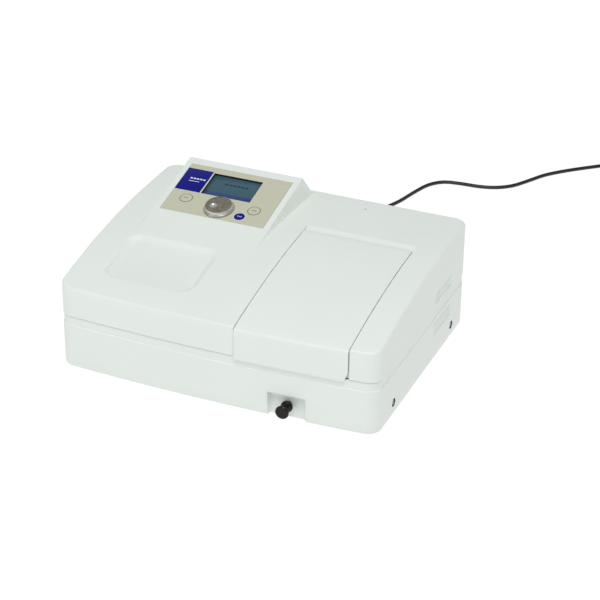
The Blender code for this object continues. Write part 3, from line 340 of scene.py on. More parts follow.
def block(name, finish, low, high, turn=None):
    """A box between two corners, given in metres."""
    low, high = Vector(low), Vector(high)
    begin()
    bpy.ops.mesh.primitive_cube_add(size=1, location=(low + high) / 2)
    bpy.context.object.scale = high - low
    piece = settle(named(name, finish))
    if turn is not None:
        piece.data.transform(turn)
    return piece


def lathe(name, finish, profile, place, steps=48):
    """A turned piece: (radius, height) points spun round its own Z axis, then put in place."""
    begin()
    bpy.ops.mesh.primitive_plane_add(size=0.001)
    piece = named(name, finish)
    edit(piece)
    bpy.ops.mesh.delete(type="ONLY_FACE")
    bpy.ops.mesh.select_all(action="SELECT")
    bpy.ops.mesh.delete(type="VERT")
    mesh = bmesh.from_edit_mesh(piece.data)
    line = [mesh.verts.new((r, 0, z)) for r, z in profile]
    for a, b in zip(line, line[1:]):
        mesh.edges.new((a, b))
    bmesh.update_edit_mesh(piece.data)
    bpy.ops.mesh.select_all(action="SELECT")
    bpy.ops.mesh.spin(steps=steps, angle=math.tau, center=(0, 0, 0), axis=(0, 0, 1))
    bpy.ops.mesh.select_all(action="SELECT")
    bpy.ops.mesh.remove_doubles(threshold=0.000005)
    bpy.ops.mesh.normals_make_consistent(inside=False)
    leave()
    piece.data.transform(place)
    smooth(piece, 32)
    return piece


def ride(piece, body, *nodes):
    """Lets a piece ride on a body, and hides the nodes it stands for."""
    if nodes:
        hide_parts(*nodes)
    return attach(piece, body)


# %% [markdown]
# ## The mains lead
# The lead is a 6 mm PVC cord, 1.8 m long. It leaves its connector at the back, drops to the
# table, wanders off to the right and ends in a small storage coil with its plug beside it. One
# smooth curve goes through a few points: first the route over the table, then the coil's turns.

# %% Cord route
INLET_X = -0.060
CORD_R = 0.003
LIE = CORD_R + 0.0002
ROUTE = (
    (-0.060, 0.2468, 0.0430), (-0.060, 0.262, 0.0420), (-0.059, 0.279, 0.0340),
    (-0.0575, 0.297, 0.0195), (-0.055, 0.316, 0.0075), (-0.052, 0.338, LIE),
    (-0.045, 0.375, LIE), (-0.034, 0.412, LIE), (-0.019, 0.449, LIE), (-0.004, 0.483, LIE),
    (0.011, 0.520, LIE), (0.021, 0.560, LIE), (0.033, 0.598, LIE), (0.053, 0.620, LIE),
    (0.082, 0.626, LIE), (0.112, 0.628, LIE), (0.139, 0.636, LIE), (0.162, 0.654, LIE),
    (0.180, 0.683, LIE), (0.198, 0.715, LIE), (0.221, 0.742, LIE), (0.246, 0.766, LIE),
    (0.272, 0.789, LIE),
)
COIL_X, COIL_Y = 0.331, 0.790
TURN_RADII = (0.039, 0.033, 0.027, 0.030, 0.036)
UPPER = LIE + 0.0056
STEPS = 18
LEAD_UP = 0.0312
LEAD_TURN = 0.026
PLUG_X = COIL_X + 0.010
PLUG_Y = COIL_Y + LEAD_UP + LEAD_TURN
PLUG_H = 0.0095


def ease(t):
    """A share from 0 to 1 that starts and ends gently."""
    t = min(max(t, 0), 1)
    return t * t * (3 - 2 * t)


def coil_points():
    """Three turns on the table, going inwards, two on top of them, then the way to the plug."""
    points = []
    for turn, radius in enumerate(TURN_RADII):
        last = turn == len(TURN_RADII) - 1
        before = TURN_RADII[max(turn - 1, 0)]
        for step in range(STEPS - 2 if last else STEPS):
            r = before + (radius - before) * ease(step / (6 if last else 9))
            z = LIE if turn < 3 else UPPER
            if turn == 3:
                z = LIE + (UPPER - LIE) * ease(step / 5)
            angle = math.radians(135) - math.tau * step / STEPS
            points.append((COIL_X + r * math.cos(angle), COIL_Y + r * math.sin(angle), z))
    left = COIL_X - TURN_RADII[-1]
    for along in (0, 0.010, 0.0205, LEAD_UP):
        points.append((left, COIL_Y + along, UPPER))
    for turned in (157.5, 135, 112.5, 90):
        angle = math.radians(turned)
        points.append((left + LEAD_TURN + LEAD_TURN * math.cos(angle),
                       COIL_Y + LEAD_UP + LEAD_TURN * math.sin(angle), PLUG_H - 0.0003))
    return points + [(COIL_X - 0.004, PLUG_Y, PLUG_H)]


def smooth_route(points, spans):
    """Points on a Catmull-Rom curve through the given ones."""
    pts = [Vector(p) for p in points]
    pts = [pts[0] * 2 - pts[1]] + pts + [pts[-1] * 2 - pts[-2]]
    out = []
    for a, b, c, d in zip(pts, pts[1:], pts[2:], pts[3:]):
        for i in range(spans):
            t = i / spans
            out.append(0.5 * (2 * b + (c - a) * t + (2 * a - 5 * b + 4 * c - d) * t ** 2
                              + (3 * b - a - 3 * c + d) * t ** 3))
    out.append(pts[-2])
    for i, spot in enumerate(out):
        out[i] = Vector((spot.x, spot.y, max(spot.z, LIE)))
    return out


path = smooth_route([*ROUTE, *coil_points()], 3)

# %% [markdown]
# A curve with a round bevel is the natural way to make a cord: the line is its centre, and the
# bevel depth is half its thickness. It rides on the casing, because it is plugged in there.

# %% Cord
begin()
bpy.ops.curve.primitive_nurbs_path_add()
cord = bpy.context.object
cord.name = cord.data.name = "mains_lead"
cord.data.splines.clear()
line = cord.data.splines.new("POLY")
line.points.add(len(path) - 1)
for point, spot in zip(line.points, path):
    point.co = (*spot, 1)
line.use_smooth = True
cord.data.bevel_depth = CORD_R
cord.data.bevel_resolution = 4
cord.data.use_fill_caps = True
cord.data.materials.append(CORD_PVC)
ride(cord, "casing", "mains_cord", "cord_coil")

# %% [markdown]
# ### Connector, plug and tie
# The connector and the plug are moulded in black plastic round the cord. Each has a waist to grip
# and a tapered, ribbed relief that stops the cord from kinking. A rubber tie holds the coil.


# %% Relief and moulded bodies
def relief(name, tip, base, tip_r, base_r, ribs=7):
    """A tapered sleeve with ribs, from the cord's side (tip) to the body (base)."""
    tip, base = Vector(tip), Vector(base)
    along = base - tip
    profile = [(0, 0), (tip_r - 0.0004, 0), (tip_r, 0.0006)]
    for i in range(ribs):
        low = along.length * (0.10 + 0.80 * i / ribs)
        r = tip_r + (base_r - tip_r) * low / along.length
        step = 0.80 * along.length / ribs
        profile += [(r, low), (r - 0.0006, low + step * 0.15), (r - 0.0006, low + step * 0.42),
                    (r + 0.0002, low + step * 0.58)]
    profile += [(base_r, along.length * 0.93), (base_r, along.length), (0, along.length)]
    turn = Vector((0, 0, 1)).rotation_difference(along).to_matrix().to_4x4()
    return lathe(name, BLACK_ABS, profile, Matrix.Translation(tip) @ turn, 28)


def moulded(name, low, high, grip_axis, finish=BLACK_ABS):
    """A body with rounded edges and a waist to grip."""
    piece = block(name, finish, low, high)
    edit(piece)
    bpy.ops.mesh.select_all(action="SELECT")
    bpy.ops.mesh.subdivide(number_cuts=5)
    axis = "xyz".index(grip_axis)
    span = [high[i] - low[i] for i in range(3)]
    middle = [(high[i] + low[i]) / 2 for i in range(3)]

    def waist(co):
        """Draws the body in at its middle."""
        co = co.copy()
        along = (co[axis] - middle[axis]) / span[axis]
        shrink = 1 - 0.16 * math.exp(-(along * 4.5) ** 2)
        for i in {0, 1, 2} - {axis}:
            co[i] = middle[i] + (co[i] - middle[i]) * shrink
        return co

    move_picked(waist)
    leave()
    apply(piece, "BEVEL", width=0.0022, segments=3, limit_method="ANGLE",
          angle_limit=math.radians(50))
    smooth(piece, 50)
    return piece


# %% Connector
inlet_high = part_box("mains_inlet")[1]
join_low, join_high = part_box("cord_connector")
connector_back = inlet_high.y + 0.0002
axis_z = FOOT + 0.035
connector = moulded(
    "lead_connector",
    (INLET_X - 0.0125, connector_back, axis_z - 0.0088),
    (INLET_X + 0.0125, connector_back + 0.030, axis_z + 0.0088), "y",
)
ride(connector, "casing", "cord_connector")
nose = block(
    "lead_connector_nose", BLACK_ABS,
    (INLET_X - 0.0108, join_low.y + 0.0003, axis_z - 0.0072),
    (INLET_X + 0.0108, connector_back + 0.001, axis_z + 0.0072),
)
rounded(nose, 0.0008)
ride(nose, "casing")
connector_relief = relief(
    "lead_connector_relief", (INLET_X, join_high.y, axis_z - 0.0002),
    (INLET_X, connector_back + 0.0285, axis_z), 0.0040, 0.0058,
)
ride(connector_relief, "casing")

# %% Plug
plug = moulded("lead_plug", (PLUG_X, PLUG_Y - 0.0125, 0.0006),
               (PLUG_X + 0.034, PLUG_Y + 0.0125, 0.0184), "x")
ride(plug, "casing", "mains_plug")
plug_relief = relief("lead_plug_relief", (PLUG_X - 0.020, PLUG_Y, PLUG_H),
                     (PLUG_X + 0.002, PLUG_Y, PLUG_H), 0.0040, 0.0062)
ride(plug_relief, "casing")
for tag, dy in (("left", -0.0063), ("right", 0.0063)):
    blade = block("plug_blade_" + tag, STEEL,
                  (PLUG_X + 0.032, PLUG_Y + dy - 0.0008, PLUG_H - 0.0060),
                  (PLUG_X + 0.050, PLUG_Y + dy + 0.0008, PLUG_H + 0.0004))
    rounded(blade, 0.0004)
    ride(blade, "casing")
earth = lathe(
    "plug_earth_pin", STEEL,
    ((0, 0), (0.0023, 0), (0.0023, 0.0165), (0.0018, 0.0190), (0.0008, 0.0200), (0, 0.0200)),
    Matrix.Translation((PLUG_X + 0.032, PLUG_Y, PLUG_H + 0.0050)) @ Matrix.Rotation(math.pi / 2, 4, "Y"),
    24,
)
ride(earth, "casing")

# %% Tie round the coil
tie = block("coil_tie", RUBBER, (COIL_X + 0.0225, COIL_Y - 0.0040, 0.0),
            (COIL_X + 0.0435, COIL_Y + 0.0040, 0.0136))
edit(tie)
pick("FACE", lambda c, f: abs(f.normal.y) > 0.9)
bpy.ops.mesh.inset(thickness=0.0009)
bpy.ops.mesh.bridge_edge_loops()
leave()
rounded(tie, 0.0006)
ride(tie, "casing")

# %% [markdown]
# ## Floor and light
# The floor is a light table that glows almost white. The light is a plain soft studio: an even
# white surround, one large soft lamp high over the front that leaves the right-hand side the
# darkest, and one weak lamp from the front left.

# %% Floor
begin()
bpy.ops.mesh.primitive_plane_add(size=14)
FLOOR_WHITE, tree, shader = finish_of("light_table_acrylic", "#505050", 0.9)
shader.inputs["Emission Color"].default_value = linear("#FFFFFF")
shader.inputs["Emission Strength"].default_value = 0.95
floor = named("floor", FLOOR_WHITE)

# %% Light
world = bpy.data.worlds.new("studio")
bpy.context.scene.world = world
world.use_nodes = True
world.node_tree.nodes["Background"].inputs["Color"].default_value = linear("#FCFEFF")
world.node_tree.nodes["Background"].inputs["Strength"].default_value = 0.44


def soft_lamp(name, place, aim, size, power, colour="#FFFFFF"):
    """A round lamp, so many metres across and so many watts, aimed at a point."""
    bpy.ops.object.light_add(type="AREA", location=place)
    lamp = bpy.context.object
    lamp.name = name
    lamp.data.shape = "DISK"
    lamp.data.size = size
    lamp.data.energy = power
    lamp.data.color = linear(colour)[:3]
    lamp.rotation_euler = (Vector(aim) - Vector(place)).to_track_quat("-Z", "Y").to_euler()


soft_lamp("key", (0.45, -1.10, 2.75), (0, 0, 0.1), 1.5, 43)
soft_lamp("fill", (-1.6, -1.6, 1.2), (0, 0, 0.1), 1.4, 3)
bpy.context.scene.view_settings.view_transform = "Standard"

# %% [markdown]
# ## The casing
# The cover is one moulding: a gently crowned top, a front that bows outwards, a shallow tray at
# the left, a console that grows out of it and a recess for the lid. A form like that is easiest
# to hold as a single grid whose vertices are set on the form. Grid lines are put exactly on the
# lid's opening, the panel's seat and the vent slots, so that those edges stay crisp, and a few
# lines close together round them a little, as a mould does.

# %% Where the grid's lines go
SAMPLE_X = HALF - 0.126
LID_X = SAMPLE_X + 0.0045
LID_W = 0.1605
LID_LEFT = LID_X - LID_W / 2
LID_RIGHT = LID_X + LID_W / 2
LID_REAR = DEEP - 0.1225
GAP = 0.0010
RECESS = 0.0036
SCOOP_BACK = LID_REAR + 0.014
EDGE = 0.0038
INSIDE = 0.198
RIM_LEFT = PANEL_LEFT - 0.0095
RIM_RIGHT = PANEL_LEFT + PANEL_W + 0.0095
PANEL_REACH = PANEL_L * math.cos(PANEL_TILT)
RIM_REAR = PANEL_FRONT + (PANEL_L + 0.0145) * math.cos(PANEL_TILT)
LOUVRE_W = 0.067
LOUVRE_AT = DEEP - 0.0685 - LOUVRE_W
LOUVRES = 11
LOUVRE_STEP = LOUVRE_W / (4 * LOUVRES)
LOUVRE_DEEP = 0.0026
SEAT_GAP = 0.0004
DISPLAY_WELL = (0.0385, 0.1222, 0.0450, 0.1015)
CHAMBER_OPEN = (SAMPLE_X - 0.066, SAMPLE_X + 0.066, 0.0195, 0.1985)


def lines(*stretches):
    """Places of grid lines: (from, to, spacing) stretches, each end on a line."""
    out = []
    for start, end, spacing in stretches:
        count = max(round((end - start) / spacing), 1)
        out += [start + (end - start) * i / count for i in range(count)]
    return out + [stretches[-1][1]]


def near(edge, inwards):
    """Lines beside an edge; inwards is +1 or -1, towards the recess."""
    return [edge + inwards * t for t in (-0.0008, -0.0004, -0.0001, 0.0002)]


def merged(*lists):
    """All lines in order, without those closer together than a tenth of a millimetre."""
    out = []
    for value in sorted(v for part in lists for v in part):
        if not out or value - out[-1] > 0.0001:
            out.append(value)
    return out


def without(values, edges, margin=0.0011):
    """Leaves out evenly spaced lines that fall beside an edge's own lines."""
    return [v for v in values if all(abs(v - e) > margin for e in edges)]


seat_x = (PANEL_LEFT - SEAT_GAP, PANEL_LEFT + PANEL_W + SEAT_GAP)
seat_y = (PANEL_FRONT - SEAT_GAP, PANEL_FRONT + PANEL_REACH + SEAT_GAP)
lid_x = (LID_LEFT - GAP, LID_RIGHT + GAP)
edge_x = (*seat_x, *lid_x, CHAMBER_OPEN[0], CHAMBER_OPEN[1], RIM_LEFT, RIM_RIGHT)
COLUMNS = merged(
    without(lines((EDGE - HALF, -INSIDE, 0.0024), (-INSIDE, -0.1790, 0.0019),
                  (-0.1790, -0.0500, 0.0016), (-0.0500, 0.0240, 0.0019), (0.0240, INSIDE, 0.009),
                  (INSIDE, HALF - EDGE, 0.0042)), edge_x),
    near(seat_x[0], 1), near(seat_x[1], -1), near(lid_x[0], 1), near(lid_x[1], -1),
    CHAMBER_OPEN[:2], [RIM_LEFT, RIM_RIGHT, RIM_LEFT + 0.0008, RIM_RIGHT - 0.0008],
)
CORNER_STEPS = 7
front_arc = [CORNER - (CORNER - EDGE) * math.cos(math.pi / 2 * i / CORNER_STEPS)
             for i in range(CORNER_STEPS + 1)]
TROUGH = (LID_REAR - 0.013, LID_REAR + 0.0035)
edge_y = (*seat_y, *TROUGH, SCOOP_BACK, CHAMBER_OPEN[3], RIM_REAR)
vents = [LOUVRE_AT + LOUVRE_STEP * i for i in range(4 * LOUVRES + 1)]
ROWS = merged(
    front_arc[:-1],
    without(lines((CORNER, 0.040, 0.0040), (0.040, 0.150, 0.0016), (0.150, LOUVRE_AT, 0.0025)), edge_y),
    without(vents, edge_y, 0.0006),
    without(lines((LOUVRE_AT + LOUVRE_W + 0.0018, DEEP - CORNER, 0.0022)), edge_y),
    near(seat_y[0], 1), near(seat_y[1], -1), near(TROUGH[0], 1), near(TROUGH[1], -1),
    (SCOOP_BACK - 0.0006, SCOOP_BACK, SCOOP_BACK + 0.0006, CHAMBER_OPEN[3], RIM_REAR - 0.0008, RIM_REAR),
    [DEEP - v for v in front_arc],
)
print(len(COLUMNS), "columns,", len(ROWS), "rows")

# %% [markdown]
# ### The cover's height
# The height over any point is worked out from a few simple surfaces. The greater or the smaller
# of two surfaces joins them, and a soft version of greater and smaller leaves a fillet there.


# %% Height of the cover
def soft_max(a, b, blend):
    """The greater of two heights, with a fillet where they are closer than the blend."""
    h = max(blend - abs(a - b), 0)
    return max(a, b) + h * h / (4 * blend)


def soft_min(a, b, blend):
    """The smaller of two heights, with a fillet."""
    return -soft_max(-a, -b, blend)


def step_down(t):
    """Share of a recess's depth at t past its edge, with a rounded brink."""
    if t <= -0.0008:
        return 0.0
    if t >= 0.00015:
        return 1.0
    return 0.09 * ((t + 0.0008) / 0.0008) ** 2


TRAY_MIDDLE = (-0.1207, 0.0895)
TRAY_HALF = (0.0685, 0.0480)
TRAY_CORNER = 0.019
TRAY_FLOOR = 0.1320
TRAY_FLOOR_FROM = 0.044
TRAY_FALL = 0.062
TRAY_DRAFT = 1.05
TRAY_GROOVE = 0.0038
TRAY_STEP = 0.0012


def into_tray(x, depth):
    """How far inside the tray's upper outline a point is."""
    dx = abs(x - TRAY_MIDDLE[0]) - (TRAY_HALF[0] - TRAY_CORNER)
    dy = abs(depth - TRAY_MIDDLE[1]) - (TRAY_HALF[1] - TRAY_CORNER)
    outside = math.hypot(max(dx, 0), max(dy, 0))
    return TRAY_CORNER - outside - min(max(dx, dy), 0)


def ground(x, depth):
    """The crown with the tray in it, which has a groove at its left and a step at its right."""
    level = crown(depth)
    inside = into_tray(x, depth)
    if inside > -0.002:
        wall = level - soft_max(inside, 0, 0.003) * TRAY_DRAFT
        floor = TRAY_FLOOR + (depth - TRAY_FLOOR_FROM) * TRAY_FALL
        if floor > wall:
            sideways = max(abs(x - TRAY_MIDDLE[0]) - TRAY_HALF[0] + TRAY_CORNER, 0) / TRAY_CORNER
            fade = ease(sideways * 2) * ease((0.128 - depth) / 0.02)
            if x < TRAY_MIDDLE[0]:
                floor -= TRAY_GROOVE * max(1 - (floor - wall) / 0.0032, 0) * fade
            else:
                floor = max(floor - TRAY_STEP * fade, wall)
            level = min(level, floor)
        else:
            level = min(level, wall)
    return level


SHEET_TOP = 0.0004
RIGHT_DRAFT = math.tan(math.radians(15))
LEFT_DRAFT = math.tan(math.radians(18))
BACK_FALL = 1.7


def console(x, depth):
    """The console's face, level with the printed sheet, and its drafted sides and back."""
    rise = math.tan(PANEL_TILT)
    face = PANEL_LOW + SHEET_TOP + (depth - PANEL_FRONT) * rise
    rear_edge = PANEL_LOW + SHEET_TOP + (RIM_REAR - PANEL_FRONT) * rise
    right = face - (x - RIM_RIGHT) / RIGHT_DRAFT
    left = face - (RIM_LEFT - x) / LEFT_DRAFT
    back = rear_edge - (depth - RIM_REAR) * BACK_FALL
    sides = soft_min(soft_min(face, right, 0.0022), left, 0.0008)
    return soft_min(sides, back, 0.0022)


SEAT_DEEP = 0.0012
WELL_DEEP = 0.0052
TROUGH_DEEP = 0.011
SCOOP_DEEP = 0.0042


def height(x, depth):
    """The cover's height over the casing's underside."""
    level = ground(x, depth)
    form = console(x, depth)
    level = soft_max(form, level, 0.0016 + 0.0044 * ease((x - RIM_LEFT + 0.004) / 0.008))
    if seat_x[0] - 0.001 < x < seat_x[1] + 0.001 and seat_y[0] - 0.001 < depth < seat_y[1] + 0.001:
        t = min(x - seat_x[0], seat_x[1] - x, depth - seat_y[0], seat_y[1] - depth)
        level -= SEAT_DEEP * step_down(t)
        u, v = x - PANEL_LEFT, (depth - PANEL_FRONT) / math.cos(PANEL_TILT)
        if DISPLAY_WELL[0] < u < DISPLAY_WELL[1] and DISPLAY_WELL[2] < v < DISPLAY_WELL[3]:
            level -= WELL_DEEP
    if lid_x[0] - 0.001 < x < lid_x[1] + 0.001 and depth < SCOOP_BACK + 0.0001:
        t = min(x - lid_x[0], lid_x[1] - x)
        share = step_down(t)
        hinge = crown(LID_REAR)
        if depth < TROUGH[0] + 0.0003:
            floor = crown(depth) - RECESS
        elif depth < TROUGH[1] + 0.0001:
            floor = hinge - TROUGH_DEEP
        else:
            run = (depth - TROUGH[1] - 0.0008) / (SCOOP_BACK - TROUGH[1] - 0.0008)
            floor = hinge - SCOOP_DEEP * (1 - run) + 0.0007 * run
        level = min(level, level + (floor - level) * share)
    return level


# %% [markdown]
# ### Grid to cover
# A grid primitive gives the rows and columns. Near the corners its rows get shorter, so that
# their ends follow the rounded plan. Then the rim is extruded again and again: round the top
# edge, down the wall and over the vent slots.

# %% The cover's top
LOW = BASE + BAND + SPLIT


def half_width(depth):
    """Half the width of the top, inside its rounded edge, at a depth."""
    along = min(depth, DEEP - depth)
    if along >= CORNER:
        return HALF - EDGE
    reach = CORNER - EDGE
    return FLAT + math.sqrt(max(reach ** 2 - (CORNER - along) ** 2, 0))


def top_point(i, j):
    """Where the top's vertex in a column and a row goes."""
    x, depth = COLUMNS[i], ROWS[j]
    if abs(x) > INSIDE:
        share = (abs(x) - INSIDE) / (HALF - EDGE - INSIDE)
        x = math.copysign(INSIDE + share * (half_width(depth) - INSIDE), x)
    level = height(x, depth)
    set_back = RECESS * step_down(min(x - lid_x[0], lid_x[1] - x)) if depth < 0.018 else 0
    forward = bow(x) * max(1 - (depth - EDGE) / 0.05, 0)
    return at(x, depth - forward + set_back * max(1 - (depth - EDGE) / 0.013, 0), level)


def grid_piece(name, finish, columns, rows, point):
    """A grid primitive whose vertices are put where point(column, row) says."""
    begin()
    bpy.ops.mesh.primitive_grid_add(x_subdivisions=columns - 1, y_subdivisions=rows - 1, size=1)
    piece = named(name, finish)
    spots = [point(k % columns, k // columns) for k in range(columns * rows)]
    piece.data.vertices.foreach_set("co", [c for spot in spots for c in spot])
    piece.data.update()
    return piece


cover = grid_piece("top_moulding", CASING_ABS, len(COLUMNS), len(ROWS), top_point)
print("cover top:", len(cover.data.vertices), "vertices")


# %% The cover's wall
def outward(spot):
    """Which way the casing's outline faces at a point near it."""
    depth = spot.y - FRONT
    near_x = min(max(spot.x, -FLAT), FLAT)
    near_y = min(max(depth, CORNER), DEEP - CORNER)
    way = Vector((spot.x - near_x, depth - near_y, 0))
    if abs(spot.x) < FLAT - 0.0001:
        way = Vector((0, -1 if depth < DEEP / 2 else 1, 0))
    return way.normalized()


def vent_cut(spot, low, high):
    """Depth of the upright grooves in the right-hand wall, between two heights."""
    depth = spot.y - FRONT
    if spot.x < HALF - 0.004 or not LOUVRE_AT < depth < LOUVRE_AT + LOUVRE_W:
        return 0
    groove = (depth - LOUVRE_AT) / LOUVRE_STEP % 4
    level = spot.z - FOOT
    return LOUVRE_DEEP if low < level < high and 0.4 < groove < 3.2 else 0


def pull_rings(rings):
    """Extrudes the picked rim once per ring; a ring says how far out and down, or to what height."""
    for out, down, level in rings:
        bpy.ops.mesh.extrude_edges_move()
        if level is None:
            move_picked(lambda co, o=out, d=down: co + outward(co) * o - Vector((0, 0, d)))
        else:
            move_picked(lambda co, z=level: Vector((co.x, co.y, FOOT + z)))


def edge_rings(radius, steps):
    """The rings of a rounded edge."""
    rings = []
    for i in range(steps):
        a, b = (math.pi / 2 * k / steps for k in (i, i + 1))
        rings.append((radius * (math.sin(b) - math.sin(a)), radius * (math.cos(a) - math.cos(b)), None))
    return rings


HIGH_VENT = (0.0873, 0.1035)
rings = edge_rings(EDGE, 5)
rings += [(0, 0, z) for z in (0.1045, HIGH_VENT[1] + 0.0002, HIGH_VENT[1] - 0.0006, 0.0980, 0.0930,
                              HIGH_VENT[0] + 0.0006, HIGH_VENT[0] - 0.0002, 0.0830, LOW + 0.0005)]
rings.append((-0.0005, 0.0005, None))
edit(cover)
bpy.ops.mesh.select_mode(type="EDGE")
bpy.ops.mesh.select_all(action="DESELECT")
bpy.ops.mesh.select_non_manifold()
pull_rings(rings)
leave()
for vert in cover.data.vertices:
    vert.co.x -= vent_cut(vert.co, *HIGH_VENT)
print("cover:", len(cover.data.vertices), "vertices")

# %% [markdown]
# ### Opening for the sample chamber, and a real wall
# The faces over the sample chamber are deleted, and Solidify then gives the skin its thickness
# inwards, which also makes the rim that one sees when the lid is open.

# %% Opening and thickness
edit(cover)
left, right, near_y, far_y = CHAMBER_OPEN
count = pick("FACE", lambda c, f: left < c.x < right and FRONT + near_y < c.y < FRONT + far_y
             and c.z > FOOT + LOW + 0.02)
bpy.ops.mesh.delete(type="FACE")
leave()
print("faces deleted over the chamber:", count)
apply(cover, "SOLIDIFY", thickness=0.0018, offset=-1)
smooth(cover, 32)
ride(cover, "casing", "top_cover")

# %% [markdown]
# ### The lower casing
# The lower half is a plain tub with the same plan. Its upper band stands a millimetre back and
# makes the shadow line that runs round the instrument. Its wall leans in slightly at the foot.


# %% The lower casing
def plan_points(inset):
    """The casing's outline, from the front's left end round to the start."""
    radius = CORNER - inset
    points = [(x, inset - bow(x)) for x in COLUMNS if abs(x) < FLAT - 0.001]
    for cx, cy, start in ((FLAT, CORNER, -90), (FLAT, DEEP - CORNER, 0), (-FLAT, DEEP - CORNER, 90),
                          (-FLAT, CORNER, 180)):
        for i in range(9):
            a = math.radians(start + 90 * i / 8)
            points.append((cx + radius * math.cos(a), cy + radius * math.sin(a)))
        if start == -90:
            points += [(HALF - inset, d) for d in vents]
        if start == 0:
            points += [(-x, DEEP - inset) for x in lines((-FLAT + 0.01, FLAT - 0.01, 0.012))]
    return points


outline = plan_points(0.0010)
begin()
bpy.ops.mesh.primitive_circle_add(vertices=len(outline), radius=1, fill_type="NOTHING")
tub = named("lower_moulding", CASING_ABS)
for vert, (x, depth) in zip(tub.data.vertices, outline):
    vert.co = at(x, depth, BASE + BAND)
LOW_VENT = (0.0385, 0.0575)
TUB_RINGS = (
    (0.0, 0.0125, None), (0.0006, 0.0003, None), (0.0004, 0.0006, None), (0, 0, 0.0610), (0, 0, 0.0583),
    (0, 0, LOW_VENT[1] + 0.0002), (0, 0, LOW_VENT[1] - 0.0006), (0, 0, 0.0480), (0, 0, LOW_VENT[0] + 0.0006),
    (0, 0, LOW_VENT[0] - 0.0002), (0, 0, 0.0300), (-0.0001, 0.0150, None), (-0.0001, 0.0134, None),
    (-0.0003, 0.0009, None), (-0.0006, 0.0006, None), (-0.0010, 0.0001, None),
)
edit(tub)
bpy.ops.mesh.select_mode(type="EDGE")
bpy.ops.mesh.select_all(action="SELECT")
pull_rings(TUB_RINGS)
bpy.ops.mesh.extrude_edges_move()
move_picked(lambda co: co - outward(co) * 0.004)
bpy.ops.mesh.edge_face_add()
bpy.ops.mesh.select_all(action="SELECT")
bpy.ops.mesh.normals_make_consistent(inside=False)
leave()
for vert in tub.data.vertices:
    vert.co.x -= vent_cut(vert.co, *LOW_VENT)
print("tub:", len(tub.data.vertices), "vertices")
apply(tub, "SOLIDIFY", thickness=0.0022, offset=-1)

# %% [markdown]
# ### Notch, screw cups and openings at the back
# A boolean is the right tool where a cutter's walls become the piece's walls. Material is added
# first where the notch and the screw cups need a wall behind them, then the notch, the cups and
# the openings for the fittings at the back are cut in one go, and the rod's hole comes last.

# %% Cutters
NOTCH_LEFT = SAMPLE_X - 0.0293
NOTCH_RIGHT = SAMPLE_X + 0.02725
NOTCH_BACK = 0.002
NOTCH_TOP = 0.036
SCREW_AT = (0.0644, 0.2964)
SCREW_H = 0.0176
CUP_R = 0.0062
CUP_DEEP = 0.0034
ROD_H = 0.018
REAR_H = 0.035
SWITCH_X = -0.105
PORT_X = 0.135
FAN_X = 0.060
GRILLE_H = 0.0417
GRILLE_R = 0.026
SLOT_STEP = 0.0056
SLOT_HALF = 0.0016


def side_rod(x_from, x_to, depth, level, radius, sides=40):
    """A rod across the casing, to add or to cut with."""
    begin()
    bpy.ops.mesh.primitive_cylinder_add(
        vertices=sides, radius=radius, depth=abs(x_to - x_from),
        location=at((x_from + x_to) / 2, depth, level), rotation=(0, math.pi / 2, 0),
    )
    return settle(named("rod", CASING_ABS))


def through_rod(middle, radius, length, sides, finish=CASING_ABS):
    """A rod from front to back, to cut with."""
    begin()
    bpy.ops.mesh.primitive_cylinder_add(vertices=sides, radius=radius, depth=length, location=middle,
                                        rotation=(math.pi / 2, 0, 0))
    return settle(named("tool", finish))


def joined(pieces):
    """Several pieces as one."""
    begin()
    for piece in pieces:
        piece.select_set(True)
    bpy.context.view_layer.objects.active = pieces[0]
    bpy.ops.object.join()
    return bpy.context.object


def combine(piece, tool, operation):
    """Adds the tool to the piece or cuts it out, and removes the tool."""
    apply(piece, "BOOLEAN", operation=operation, solver="EXACT", use_self=True, object=tool)
    bpy.data.objects.remove(tool)


def box_tool(low, high):
    """A box given by places on the casing, to add or to cut with."""
    return block("tool", CASING_ABS, at(*low), at(*high))


def renamed(piece, name, finish):
    """Gives a tool's box its own name and finish, so that it stays as a piece."""
    piece.name = piece.data.name = name
    piece.data.materials[0] = finish


# %% Openings of the lower casing
backing = [box_tool((NOTCH_LEFT - 0.002, -0.0032, 0.0006),
                    (NOTCH_RIGHT + 0.002, NOTCH_BACK + 0.002, NOTCH_TOP + 0.002))]
cutters = []
for side in (-1, 1):
    for depth in SCREW_AT:
        backing.append(side_rod(side * (HALF - 0.0012), side * (HALF - CUP_DEEP - 0.002), depth, SCREW_H,
                                CUP_R + 0.002))
        cutters.append(side_rod(side * (HALF + 0.004), side * (HALF - CUP_DEEP), depth, SCREW_H, CUP_R))
notch = box_tool((NOTCH_LEFT, -0.012, -0.004), (NOTCH_RIGHT, NOTCH_BACK, NOTCH_TOP))
for vert in notch.data.vertices:
    if vert.co.y > FRONT:
        vert.co.x += 0.0036 if vert.co.x < SAMPLE_X else -0.0010
        if vert.co.z > FOOT + 0.01:
            vert.co.z -= 0.0008
cutters.append(notch)
for x, half_w, half_h in ((INLET_X, 0.0135, 0.0105), (SWITCH_X, 0.0095, 0.0065), (PORT_X, 0.0062, 0.0057)):
    cutters.append(box_tool((x - half_w, DEEP - 0.008, REAR_H - half_h),
                            (x + half_w, DEEP + 0.008, REAR_H + half_h)))
for k in range(-4, 5):
    chord = math.sqrt(GRILLE_R ** 2 - (SLOT_STEP * k) ** 2)
    level = GRILLE_H + SLOT_STEP * k
    cutters.append(box_tool((FAN_X - chord, DEEP - 0.006, level - SLOT_HALF),
                            (FAN_X + chord, DEEP + 0.006, level + SLOT_HALF)))
combine(tub, joined(backing), "UNION")
combine(tub, joined(cutters), "DIFFERENCE")
